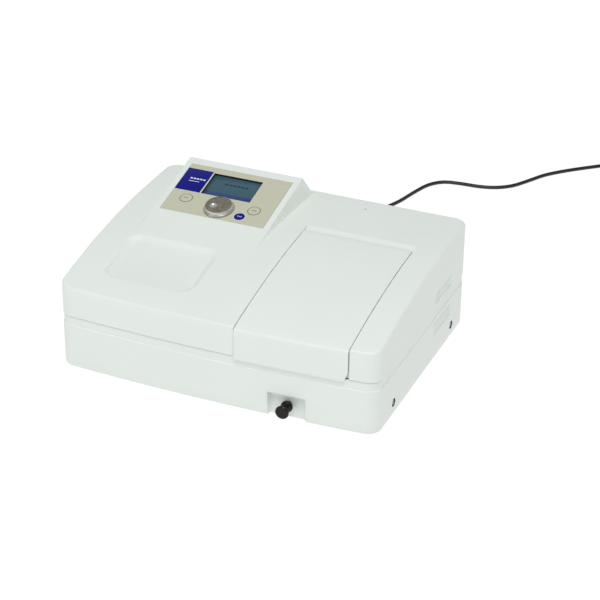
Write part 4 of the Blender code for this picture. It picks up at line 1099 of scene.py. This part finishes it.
combine(tub, through_rod(at(SAMPLE_X, NOTCH_BACK, ROD_H), 0.0052, 0.02, 40), "DIFFERENCE")
smooth(tub, 32)
ride(tub, "casing", "lower_casing")
print("tub with its openings:", len(tub.data.polygons), "faces")

# %% [markdown]
# ### The sample lid
# The lid is a bent plate: its top follows the crown, its front edge is rounded and its skirt
# hangs over the front. A grid whose rows follow that bend makes it in one piece. The skirt's
# lower right corner is cut back a little, and the whole plate gets its thickness from Solidify.

# %% Lid plate
LID_PROUD = 0.0021
SKIRT = BASE + BAND - 0.0027
LID_EDGE = 0.0040
lid_columns = merged(lines((LID_LEFT, LID_RIGHT, 0.0075)), (LID_LEFT + 0.0005, LID_RIGHT - 0.0005))
lid_profile = [("top", d) for d in reversed(lines((0.012, LID_REAR, 0.008)))]
lid_profile += [("edge", a) for a in (0, 18, 36, 54, 72, 90)]
lid_profile += [("skirt", z) for z in (0.1130, 0.1050, 0.0960, 0.0890, 0.0850, 0.0810, 0.0780, SKIRT)]


def lid_point(i, j):
    """Where the lid's vertex in a column and along the bend goes."""
    x = lid_columns[i]
    kind, value = lid_profile[len(lid_profile) - 1 - j]
    face = -bow(x) - LID_PROUD
    if kind == "top":
        return at(x, value, crown(value))
    if kind == "edge":
        a = math.radians(value)
        depth = face + LID_EDGE * (1 - math.sin(a))
        return at(x, depth, crown(max(depth, face + 0.002)) - LID_EDGE * (1 - math.cos(a)))
    cut_back = 0.0046 * ease((SKIRT + 0.015 - value) / 0.015)
    share = (x - LID_LEFT) / LID_W
    return at(x - cut_back * share ** 3, face, value)


lid = grid_piece("sample_lid_plate", CASING_ABS, len(lid_columns), len(lid_profile), lid_point)
apply(lid, "SOLIDIFY", thickness=0.0026, offset=-1, use_even_offset=True)
rounded(lid, 0.0006, 2, 50)
ride(lid, "lid", "sample_lid")
print("lid:", len(lid.data.polygons), "faces")

# %% [markdown]
# ### Hinge
# Two lugs stand up from the cover's trough and two knuckles hang under the lid, on one steel pin. A lug is a
# small block with a round eye; a boolean joins block and eye and bores the hole for the pin, and the piece is
# shaded smooth.

# %% Hinge lugs and knuckles
PIN_Y = LID_REAR - 0.0045
PIN_H = crown(LID_REAR) - 0.0060


def hinge_eye(name, x_from, x_to, radius, low, high):
    """A round eye on the pin with a web below or above it."""
    eye = side_rod(x_from, x_to, PIN_Y, PIN_H, radius, 28)
    web = box_tool((min(x_from, x_to), PIN_Y - radius * 0.8, low),
                   (max(x_from, x_to), PIN_Y + radius * 0.8, high))
    combine(eye, web, "UNION")
    combine(eye, side_rod(x_from - 0.02, x_to + 0.02, PIN_Y, PIN_H, 0.0017, 24), "DIFFERENCE")
    eye.name = eye.data.name = name
    smooth(eye)
    return eye


for tag, edge, inwards in (("left", LID_LEFT, 1), ("right", LID_RIGHT, -1)):
    start = edge + inwards * 0.010
    end = start + inwards * 0.005
    lug = hinge_eye("hinge_lug_" + tag, start, end, 0.0026, crown(LID_REAR) - 0.0112, PIN_H)
    ride(lug, "casing")
    start = end + inwards * 0.0004
    knuckle = hinge_eye("hinge_knuckle_" + tag, start, start + inwards * 0.018, 0.0031,
                        PIN_H, crown(LID_REAR) - 0.0022)
    ride(knuckle, "lid")

# %% [markdown]
# ## The console
# The console carries a thin printed sheet with a blue label, a sunken display, a large dial and
# three keys. Its pieces are made flat, in the sheet's own axes, and then tilted into place in
# one step. The label and the display show plain bars where a maker would print a name.

# %% Console finishes
PANEL_BEIGE, tree, shader = finish_of("printed_polyester_beige", "#C7C8B2", 0.36, IOR=1.5)
bump(tree, shader, grain(tree, 0.0007, 2.0), 0.06, 0.0002)
LABEL_BLUE, tree, shader = finish_of("label_ink_blue", "#070F7E", 0.40, Specular_IOR_Level=0.2)
bump(tree, shader, grain(tree, 0.0009, 2.0), 0.04, 0.0002)
INK_GREY, tree, shader = finish_of("printed_ink_grey", "#55564F", 0.45)
bump(tree, shader, grain(tree, 0.0009, 2.0), 0.04, 0.0002)
INK_PALE, tree, shader = finish_of("printed_ink_pale", "#E6E8F0", 0.45)
bump(tree, shader, grain(tree, 0.0009, 2.0), 0.04, 0.0002)

DISPLAY, tree, shader = finish_of("display_glass", "#3F5E6E", 0.20, Specular_IOR_Level=0.25)
tone = shades(tree, grain(tree, 0.05, 1.0), (0.30, "#3C5A69"), (0.70, "#426270"))
tree.links.new(tone, shader.inputs["Base Color"])
# Painted reflection: a darker, bluer glass finish for a strip along the display's lower edge, standing in for
# the reflection in the glass there.
DISPLAY_PAINTED_REFLECTION, tree, shader = finish_of("display_painted_reflection", "#2F4474", 0.20, Specular_IOR_Level=0.25)
tone = shades(tree, grain(tree, 0.03, 1.0), (0.30, "#2D4170"), (0.70, "#334878"))
tree.links.new(tone, shader.inputs["Base Color"])
DISPLAY_DARK, tree, shader = finish_of("display_segments", "#263945", 0.20, Specular_IOR_Level=0.25)
bump(tree, shader, grain(tree, 0.0009, 2.0), 0.02, 0.0002)

# %% [markdown]
# The dial is satin-plated over a blasted face, which leaves it mottled: one noise drives its tone, its
# roughness and a slight relief. Its rim and its finger dimple are polished bright, and the lighter colour of
# their plating is also a painted highlight, standing in for the bright crescents the light makes there.

# %% Dial finish
SATIN_SILVER, tree, shader = finish_of("satin_plated_silver", "#A9A496", 0.34, Metallic=1.0)
mottle = grain(tree, 0.0016, 4.0)
tone = shades(tree, mottle, (0.35, "#8F8A7C"), (0.65, "#B4AF9F"))
tree.links.new(tone, shader.inputs["Base Color"])
tree.links.new(add(tree, "ShaderNodeMapRange", {"Value": mottle}, To_Min=0.30, To_Max=0.46)
               .outputs["Result"], shader.inputs["Roughness"])
bump(tree, shader, mottle, 0.10, 0.0002)

# Lighter, glossier plating: the real polish, and partly a painted highlight through its light colour.
BRIGHT_PLATING_PAINTED_HIGHLIGHT, tree, shader = finish_of("bright_plating_and_painted_highlight", "#E2E1DB", 0.26, Metallic=1.0)
bump(tree, shader, grain(tree, 0.0012, 2.0), 0.05, 0.0002)


# %% Sheet, label and display
def tilted(piece, body, *nodes):
    """Tilts a piece made in the sheet's axes into place and lets it ride on a body."""
    piece.data.transform(PANEL_PLACE)
    return ride(piece, body, *nodes)


def flat_rod(u, v, radius, low, high, sides=64):
    """A short rod that stands on the sheet, to cut with."""
    begin()
    bpy.ops.mesh.primitive_cylinder_add(vertices=sides, radius=radius, depth=high - low,
                                        location=(u, v, (low + high) / 2))
    return settle(named("rod", PANEL_BEIGE))


def plate(name, finish, low, high, edge, body, *nodes):
    """A thin plate with broken edges, in the sheet's axes."""
    piece = block(name, finish, low, high)
    rounded(piece, edge, 2, 50)
    return tilted(piece, body, *nodes)


LCD_LOW = (0.0420, 0.0486)
LCD_HIGH = (0.1187, 0.0981)
LCD_SINK = -0.0034
KEYS = {"left": (0.0266, 0.0320, 0.0094), "right": (0.1328, 0.0325, 0.0094), "blue": (0.1179, 0.0145, 0.0078)}

sheet = block("console_sheet", PANEL_BEIGE, (0, 0, -0.0008), (PANEL_W, PANEL_L, SHEET_TOP))
tools = [block("tool", PANEL_BEIGE, (*LCD_LOW, -0.003), (*LCD_HIGH, 0.003))]
tools += [flat_rod(u, v, r + 0.0002, -0.003, 0.003) for u, v, r in KEYS.values()]
combine(sheet, joined(tools), "DIFFERENCE")
rounded(sheet, 0.00015, 1, 50)
tilted(sheet, "casing", "membrane_panel")

plate("label_plate", LABEL_BLUE, (0.0002, 0.0485, SHEET_TOP), (0.0400, 0.0995, SHEET_TOP + 0.00025), 0.0001,
      "casing", "name_plate")
plate("label_edge", INK_PALE, (0.0400, 0.0485, SHEET_TOP - 0.0001), (0.0405, 0.0995, SHEET_TOP + 0.00015),
      0.00005, "casing")
for i in range(5):
    plate(f"label_bar_{i + 1}", INK_PALE, (0.0125 + 0.0050 * i, 0.0760, SHEET_TOP + 0.0002),
          (0.0162 + 0.0050 * i, 0.0788, SHEET_TOP + 0.00035), 0.00005, "casing")
plate("label_bar_low", INK_PALE, (0.0125, 0.0706, SHEET_TOP + 0.0002),
      (0.0290, 0.0717, SHEET_TOP + 0.00035), 0.00005, "casing")

liner = block("display_liner", BLACK_ABS, (LCD_LOW[0] - 0.0008, LCD_LOW[1] - 0.0008, LCD_SINK - 0.0014),
              (LCD_HIGH[0] + 0.0008, LCD_HIGH[1] + 0.0008, 0.0001))
combine(liner, block("tool", BLACK_ABS, (*LCD_LOW, LCD_SINK), (*LCD_HIGH, 0.003)), "DIFFERENCE")
rounded(liner, 0.0001, 1, 50)
tilted(liner, "casing")
plate("display_screen", DISPLAY, (LCD_LOW[0] + 0.0003, LCD_LOW[1] + 0.0003, LCD_SINK - 0.0003),
      (LCD_HIGH[0] - 0.0003, LCD_HIGH[1] - 0.0003, LCD_SINK + 0.0003), 0.0001, "casing", "lcd_window")
# A thin strip along the lower edge of the display, in the darker finish: a painted reflection.
plate("display_painted_reflection_low", DISPLAY_PAINTED_REFLECTION, (LCD_LOW[0] + 0.0006, LCD_LOW[1] + 0.0006, LCD_SINK + 0.0001),
      (LCD_HIGH[0] - 0.0006, LCD_LOW[1] + 0.0125, LCD_SINK + 0.0004), 0.00005, "casing")
for i in range(6):
    plate(f"display_bar_{i + 1}", DISPLAY_DARK, (0.0650 + 0.0064 * i, 0.0800, LCD_SINK + 0.0002),
          (0.0700 + 0.0064 * i, 0.0834, LCD_SINK + 0.0004), 0.00005, "casing")

# %% [markdown]
# ### Keys
# Each key is a slightly domed disc that moves by less than a millimetre. Its printed ring and
# bars ride with it.


# %% Keys
def ring(name, finish, inner_r, outer_r, low, high, u, v, body):
    """A thin flat ring in the sheet's axes."""
    profile = ((inner_r, low), (inner_r, high), (outer_r, high), (outer_r, low), (inner_r, low))
    return ride(lathe(name, finish, profile, PANEL_PLACE @ Matrix.Translation((u, v, 0)), 64), body)


for tag, (u, v, r) in KEYS.items():
    body = tag + "_key"
    profile = ((0, SHEET_TOP + 0.0005), (r * 0.5, SHEET_TOP + 0.00044), (r * 0.8, SHEET_TOP + 0.0003),
               (r - 0.0003, SHEET_TOP + 0.0001), (r, SHEET_TOP - 0.0001), (r, -0.0012), (0, -0.0012))
    key = lathe(tag + "_key_cap", LABEL_BLUE if tag == "blue" else PANEL_BEIGE, profile,
                PANEL_PLACE @ Matrix.Translation((u, v, 0)), 64)
    ride(key, body, "key_" + tag)
    if tag == "blue":
        ring("blue_key_halo", INK_PALE, r + 0.0003, r + 0.0010, SHEET_TOP, SHEET_TOP + 0.0001, u, v, "casing")
    else:
        ring(tag + "_key_ring", INK_GREY, r - 0.0007, r - 0.0001, SHEET_TOP - 0.0001, SHEET_TOP + 0.00025,
             u, v, body)
    for i in (-1, 0, 1):
        plate(f"{tag}_key_bar_{i + 2}", INK_PALE if tag == "blue" else INK_GREY,
              (u + 0.0027 * i - 0.0010, v - 0.0006, SHEET_TOP + 0.0003),
              (u + 0.0027 * i + 0.0010, v + 0.0006, SHEET_TOP + 0.00058), 0.00005, body)

# %% [markdown]
# ### Dial
# The dial is turned round its own axis, and then a finger dimple is pressed into its top by
# moving the vertices near it. The dimple is what shows that the dial turns.

# %% Dial
DIAL_AT = (0.0820, 0.0235)
DIAL_R = 0.0200
DIAL_H = 0.0076
DIMPLE = (-0.0060, -0.0040)
DIMPLE_R = 0.0068
profile = [(DIAL_R * t / 16 * 0.92, DIAL_H - 0.0004 * (t / 16) ** 2) for t in range(17)]
profile += [(DIAL_R * 0.955, DIAL_H - 0.0007), (DIAL_R * 0.985, DIAL_H - 0.0016), (DIAL_R, DIAL_H - 0.0029),
            (DIAL_R, 0.0024), (DIAL_R * 0.99, 0.0018), (DIAL_R * 0.99, 0.0009), (0, 0.0009)]
dial = lathe("console_dial", SATIN_SILVER, profile, Matrix.Identity(4), 96)
dial.data.materials.append(BRIGHT_PLATING_PAINTED_HIGHLIGHT)
for vert in dial.data.vertices:
    if vert.co.z > DIAL_H - 0.0006:
        away = math.hypot(vert.co.x - DIMPLE[0], vert.co.y - DIMPLE[1]) / DIMPLE_R
        vert.co.z -= 0.0024 * max(1 - away * away, 0) ** 2
# The rim and the finger dimple get the lighter plating; besides the real polish, its light colour paints
# their highlights.
for face in dial.data.polygons:
    dimple = math.hypot(face.center.x - DIMPLE[0], face.center.y - DIMPLE[1]) < DIMPLE_R * 0.8
    if math.hypot(face.center.x, face.center.y) > DIAL_R * 0.95 or dimple:
        face.material_index = 1
dial.data.transform(Matrix.Translation((*DIAL_AT, 0)))
tilted(dial, "dial", "dial_knob")
ring("dial_collar", BRIGHT_PLATING_PAINTED_HIGHLIGHT, 0.0188, 0.0221, SHEET_TOP - 0.0001, SHEET_TOP + 0.0005, *DIAL_AT, "casing")
ring("dial_collar_gap", BLACK_ABS, 0.0219, 0.0225, SHEET_TOP - 0.0001, SHEET_TOP + 0.0001, *DIAL_AT, "casing")

# %% [markdown]
# ## The pull rod, its knob, screws and feet
# The rod carries the cell carriage and comes out of the notch at the front. Its knob is turned
# from glossy black plastic: a wide front disc to grip behind, a waist and a smaller rear disc.

# %% Knob, rod and bush
GLOSS_BLACK, tree, shader = finish_of("glossy_black_phenolic", "#090909", 0.22, Specular_IOR_Level=0.3)
bump(tree, shader, grain(tree, 0.0012, 2.0), 0.03, 0.0002)
ROD_LINE = Matrix.Translation(at(SAMPLE_X, 0, ROD_H)) @ Matrix.Rotation(math.pi / 2, 4, "X")
knob = lathe("pull_knob_turned", GLOSS_BLACK, (
    (0, 0.0222), (0.0040, 0.0223), (0.0076, 0.0225), (0.0088, 0.0221), (0.0095, 0.0212), (0.0097, 0.0201),
    (0.0094, 0.0190), (0.0084, 0.0181), (0.0060, 0.0172), (0.0044, 0.0160), (0.0041, 0.0142),
    (0.0041, 0.0108), (0.0044, 0.0092), (0.0060, 0.0080), (0.0076, 0.0073), (0.0082, 0.0064),
    (0.0084, 0.0053), (0.0084, 0.0032), (0.0081, 0.0024), (0.0074, 0.0020), (0, 0.0020)), ROD_LINE, 48)
ride(knob, "carriage", "pull_knob")
rod = lathe("pull_rod_ground", STEEL, (
    (0, -0.0963), (0.0026, -0.0963), (0.0030, -0.0959), (0.0030, -0.0300), (0.0030, 0.0020), (0.0030, 0.0090),
    (0, 0.0090)), ROD_LINE, 32)
ride(rod, "carriage", "pull_rod")
bush = lathe("pull_rod_bush", BLACK_ABS, (
    (0.0033, -0.0062), (0.0033, -0.0019), (0.0036, -0.0016), (0.0053, -0.0016), (0.0056, -0.0019),
    (0.0056, -0.0062), (0.0033, -0.0062)), ROD_LINE, 40)
ride(bush, "casing", "rod_bush")

# %% [markdown]
# A screw is a turned pan head with a cross cut into it. The cross is cut with a boolean, as the
# punch does on the real screw. A black ring lines the cup that the head sits in.

# %% Screws and feet
FOOT_X = 0.199
FOOT_AT = (0.036, 0.320)
for side, side_name in ((-1, "left"), (1, "right")):
    for depth, depth_name in zip(SCREW_AT, ("front", "back")):
        place = (Matrix.Translation(at(side * (HALF - CUP_DEEP), depth, SCREW_H))
                 @ Matrix.Rotation(side * math.pi / 2, 4, "Y"))
        screw = lathe("cross_head_" + depth_name + "_" + side_name, STEEL, (
            (0, 0.0034), (0.0016, 0.0034), (0.0028, 0.0030), (0.0036, 0.0022), (0.0040, 0.0011),
            (0.0040, 0.0001), (0.0015, 0.0001), (0.0015, -0.0060), (0, -0.0060)), Matrix.Identity(4), 40)
        cross = joined([block("tool", STEEL, (-0.0024, -0.00055, 0.0014), (0.0024, 0.00055, 0.0044)),
                        block("tool", STEEL, (-0.00055, -0.0024, 0.0013), (0.00055, 0.0024, 0.0045))])
        combine(screw, cross, "DIFFERENCE")
        screw.data.transform(place @ Matrix.Rotation(0.4 + depth * 2, 4, "Z"))
        smooth(screw)
        ride(screw, "casing", f"screw_{depth_name}_{side_name}")
        cup = lathe("screw_cup_" + depth_name + "_" + side_name, BLACK_ABS, (
            (0.0042, 0.0001), (0.0042, 0.0006), (0.0050, 0.0010), (0.0054, 0.0031), (0.0058, 0.0034),
            (CUP_R, 0.0031), (CUP_R, 0.0001), (0.0042, 0.0001)), place, 40)
        ride(cup, "casing")
    for depth, depth_name in zip(FOOT_AT, ("front", "back")):
        foot = lathe("rubber_foot_" + depth_name + "_" + side_name, RUBBER, (
            (0, 0.0006), (0.0030, 0.0006), (0.0034, 0.0020), (0.0060, 0.0020), (0.0064, 0.0004), (0.0070, 0),
            (0.0100, 0), (0.0107, 0.0004), (0.0110, 0.0014), (0.0109, 0.0040), (0.0103, 0.0083), (0, 0.0083)),
            Matrix.Translation((side * FOOT_X, FRONT + depth, 0)), 40)
        ride(foot, "casing", f"foot_{depth_name}_{side_name}")

# %% Small plug in the cover
DOT_X, DOT_AT = 0.088, 0.3265
dot = lathe("cover_plug", BLACK_ABS, (
    (0, 0.0003), (0.0007, 0.0003), (0.0010, 0.0001), (0.0010, -0.0008), (0, -0.0008)),
    Matrix.Translation(at(DOT_X, DOT_AT, crown(DOT_AT))), 24)
ride(dot, "casing")

# %% [markdown]
# ## The back
# The back carries the mains inlet, the rocker switch, a data port and a fan behind a grille.


# %% Inlet, switch and port
def framed(name, finish, middle_x, half_w, half_h, hole_w, hole_h, front, back, edge=0.0008):
    """A frame on the back wall with a rectangular hole."""
    piece = box_tool((middle_x - half_w, DEEP - front, REAR_H - half_h),
                     (middle_x + half_w, DEEP + back, REAR_H + half_h))
    hole = box_tool((middle_x - hole_w, DEEP - front + 0.001, REAR_H - hole_h),
                    (middle_x + hole_w, DEEP + back + 0.01, REAR_H + hole_h))
    combine(piece, hole, "DIFFERENCE")
    renamed(piece, name, finish)
    rounded(piece, edge, 2, 50)
    return piece


SOCKET_W = 0.0112
SOCKET_H = 0.0076
inlet_frame = framed("inlet_flange", BLACK_ABS, INLET_X, 0.0130, 0.0100, SOCKET_W, SOCKET_H, 0.020, 0.0001,
                     0.0004)
flange = box_tool((INLET_X - 0.0150, DEEP + 0.0001, REAR_H - 0.0120),
                  (INLET_X + 0.0150, DEEP + 0.0022, REAR_H + 0.0120))
combine(flange, box_tool((INLET_X - SOCKET_W, DEEP - 0.01, REAR_H - SOCKET_H),
                         (INLET_X + SOCKET_W, DEEP + 0.01, REAR_H + SOCKET_H)), "DIFFERENCE")
renamed(flange, "inlet_plate", BLACK_ABS)
rounded(flange, 0.0005, 2, 50)
ride(flange, "casing", "mains_inlet")
ride(inlet_frame, "casing")

bezel = framed("rocker_bezel", BLACK_ABS, SWITCH_X, 0.0103, 0.0073, 0.0076, 0.0048, 0.012, 0.0017, 0.0005)
ride(bezel, "casing", "switch_bezel")
ROCKER_HALF = 0.0057
rocker = box_tool((SWITCH_X - ROCKER_HALF, DEEP - 0.0046, REAR_H - 0.0043),
                  (SWITCH_X + ROCKER_HALF, DEEP + 0.0028, REAR_H + 0.0043))
renamed(rocker, "rocker_cap", BLACK_ABS)
edit(rocker)
bpy.ops.mesh.select_all(action="SELECT")
bpy.ops.mesh.subdivide(number_cuts=7)
pick("VERT", lambda c, v: c.y > FRONT + DEEP + 0.002)
move_picked(lambda co: co - Vector((0, 0.0018 * (1 - abs(co.x - SWITCH_X) / ROCKER_HALF), 0)))
pick("VERT", lambda c, v: c.y < FRONT + DEEP - 0.001)
move_picked(lambda co: Vector((SWITCH_X + (co.x - SWITCH_X) * 0.7, co.y, co.z)))
leave()
rounded(rocker, 0.0005, 2, 50)
ride(rocker, "rocker", "power_rocker")

port = framed("port_shell", STEEL, PORT_X, 0.0060, 0.0055, 0.0042, 0.0039, 0.0115, 0.0013, 0.0003)
port_tongue = box_tool((PORT_X - 0.0028, DEEP - 0.0105, REAR_H - 0.0016),
                       (PORT_X + 0.0028, DEEP - 0.0020, REAR_H + 0.0016))
renamed(port_tongue, "port_tongue", INK_PALE)
rounded(port_tongue, 0.0002, 1, 50)
ride(port, "casing", "data_port")
ride(port_tongue, "casing")

# %% [markdown]
# ### Fan
# The fan's frame is a square with a round throat. Its rotor is a hub with seven curved, twisted
# blades. Each blade is a small grid, given thickness and joined to the hub.

# %% Fan
fan_low, fan_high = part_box("fan_frame")
fan_middle = (fan_low + fan_high) / 2
fan_frame = block("fan_housing", BLACK_ABS, fan_low, fan_high)
tools = [through_rod(fan_middle, 0.0282, 0.05, 72, BLACK_ABS)]
for dx in (-0.025, 0.025):
    for dz in (-0.025, 0.025):
        tools.append(through_rod(fan_middle + Vector((dx, 0, dz)), 0.0021, 0.05, 20, BLACK_ABS))
combine(fan_frame, joined(tools), "DIFFERENCE")
rounded(fan_frame, 0.0012, 2, 60)
ride(fan_frame, "casing", "fan_frame")

rotor_low, rotor_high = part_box("fan_rotor")
rotor_middle = (rotor_low + rotor_high) / 2
HUB_R = 0.0125
BLADE_R = 0.0262
REACH = (rotor_high.y - rotor_low.y) / 2
hub = lathe("fan_rotor_moulded", BLACK_ABS, (
    (0, REACH), (HUB_R - 0.002, REACH), (HUB_R - 0.0006, REACH - 0.0005), (HUB_R, REACH - 0.0018),
    (HUB_R, 0.0018 - REACH), (HUB_R - 0.001, 0.0004 - REACH), (0, 0.0004 - REACH)), Matrix.Identity(4), 56)
BLADES = 7


def blade_point(i, j, turn):
    """A point on a blade: i goes out from the hub, j across the blade, turn is where it stands."""
    out, across = i / 6, j / 5
    radius = HUB_R - 0.001 + (BLADE_R - HUB_R + 0.001) * out
    sweep = turn + (across - 0.5) * (0.62 + 0.10 * out) + 0.20 * out
    rise = (across - 0.5) * 2 * (REACH - 0.0014) * (1 - 0.25 * out) + 0.0008 * math.sin(math.pi * across)
    return Vector((radius * math.cos(sweep), radius * math.sin(sweep), rise))


blades = [hub]
for k in range(BLADES):
    turn = math.tau * k / BLADES
    blade = grid_piece("blade", BLACK_ABS, 7, 6, lambda i, j, turn=turn: blade_point(i, j, turn))
    apply(blade, "SOLIDIFY", thickness=0.0009, offset=0)
    blades.append(blade)
rotor = joined(blades)
rotor.data.transform(Matrix.Translation(rotor_middle) @ Matrix.Rotation(-math.pi / 2, 4, "X"))
smooth(rotor, 45)
ride(rotor, "fan", "fan_rotor")

# %% [markdown]
# ## Inside the sample chamber
# With the lid open one looks into a black sheet-metal chamber. A carriage with four glass cells
# slides on a rail across the light beam, which comes in through a port at the left and leaves
# through one at the right.

# %% Chamber
chamber_low, chamber_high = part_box("sample_chamber")
SHEET_METAL = 0.0012


def chamber_top(y):
    """How high the chamber's wall reaches, just under the cover."""
    return FOOT + crown(y - FRONT) - 0.0069


chamber = block("chamber_sheet", CHAMBER_BLACK, chamber_low, chamber_high)
edit(chamber)
pick("FACE", lambda c, f: f.normal.z > 0.9)
bpy.ops.mesh.delete(type="FACE")
bpy.ops.mesh.select_all(action="SELECT")
bpy.ops.mesh.subdivide(number_cuts=9)
bpy.ops.mesh.select_all(action="SELECT")
move_picked(lambda co: Vector((co.x, co.y, chamber_low.z + (co.z - chamber_low.z)
                               * (chamber_top(co.y) - chamber_low.z) / (chamber_high.z - chamber_low.z))))
leave()
apply(chamber, "SOLIDIFY", thickness=SHEET_METAL, offset=-1, use_even_offset=True)
BEAM = 0.105
BEAM_H = 0.034
tools = [side_rod(SAMPLE_X - 0.080, SAMPLE_X - 0.060, BEAM, BEAM_H, 0.0060),
         side_rod(SAMPLE_X + 0.060, SAMPLE_X + 0.080, BEAM, BEAM_H, 0.0060)]
tools.append(through_rod(at(SAMPLE_X, 0.018, ROD_H), 0.0045, 0.01, 32, CHAMBER_BLACK))
combine(chamber, joined(tools), "DIFFERENCE")
rounded(chamber, 0.0003, 1, 50)
ride(chamber, "casing", "sample_chamber")

# %% [markdown]
# The carriage is one milled block with four square pockets and a window on each side of every
# pocket for the beam. The cells are glass with polished 1.25 mm walls.

# %% Carriage and cells
GLASS, tree, shader = finish_of("cell_glass", "#F2F8F7", 0.03, IOR=1.46, Transmission_Weight=1.0)
bump(tree, shader, grain(tree, 0.004, 2.0), 0.02, 0.0002)
BLACK_ANODISED, tree, shader = finish_of("black_anodised", "#1E1E20", 0.34, Metallic=0.6)
bump(tree, shader, grain(tree, 0.0008, 2.0, (1, 5, 1)), 0.10, 0.0002)

CELL_WALL = 0.00125
CELL_PLAY = 0.00015
carriage_low, carriage_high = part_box("cell_carriage")
carriage = block("carriage_milled", BLACK_ANODISED, carriage_low, carriage_high)
tools = []
for i in range(4):
    low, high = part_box(f"cuvette_{i + 1}")
    middle = (low + high) / 2
    tools.append(block("tool", BLACK_ANODISED, (low.x - CELL_PLAY, low.y - CELL_PLAY, low.z),
                       (high.x + CELL_PLAY, high.y + CELL_PLAY, 0.08)))
    tools.append(block("tool", BLACK_ANODISED, (low.x - 0.02, middle.y - 0.0035, FOOT + BEAM_H - 0.009),
                       (high.x + 0.02, middle.y + 0.0035, FOOT + BEAM_H + 0.006)))
    cell = block(f"cell_{i + 1}", GLASS, low, high)
    combine(cell, block("tool", GLASS, (low.x + CELL_WALL, low.y + CELL_WALL, low.z + 0.0013),
                        (high.x - CELL_WALL, high.y - CELL_WALL, high.z + 0.01)), "DIFFERENCE")
    rounded(cell, 0.0002, 2, 50)
    ride(cell, "carriage", f"cuvette_{i + 1}")
combine(carriage, joined(tools), "DIFFERENCE")
rounded(carriage, 0.0004, 2, 50)
ride(carriage, "carriage", "cell_carriage")

# %% [markdown]
# ## Finishes of the other parts
# The optics, boards and power supply inside the casing stay as they come in the model. Each
# gets the finish of what it is made of.

# %% Finishes of the parts inside
BOARD_GREEN, tree, shader = finish_of("solder_resist_green", "#1E5A3A", 0.35)
tone = shades(tree, grain(tree, 0.006, 4.0), (0.40, "#1A5235"), (0.60, "#256846"))
tree.links.new(tone, shader.inputs["Base Color"])
BY_MATERIAL = {
    "steel": STEEL, "black_paint": CHAMBER_BLACK, "cast_alloy": CAST_ALLOY, "mirror_coat": MIRROR,
    "board_green": BOARD_GREEN, "black_plastic": BLACK_ABS, "black_rubber": RUBBER, "clear_glass": GLASS,
    "cover_white": CASING_ABS, "panel_beige": PANEL_BEIGE, "label_blue": LABEL_BLUE, "lcd_grey": DISPLAY,
    "satin_silver": SATIN_SILVER,
}
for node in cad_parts.values():
    for slot, material in enumerate(node.data.materials):
        if material.name in BY_MATERIAL:
            node.data.materials[slot] = BY_MATERIAL[material.name]
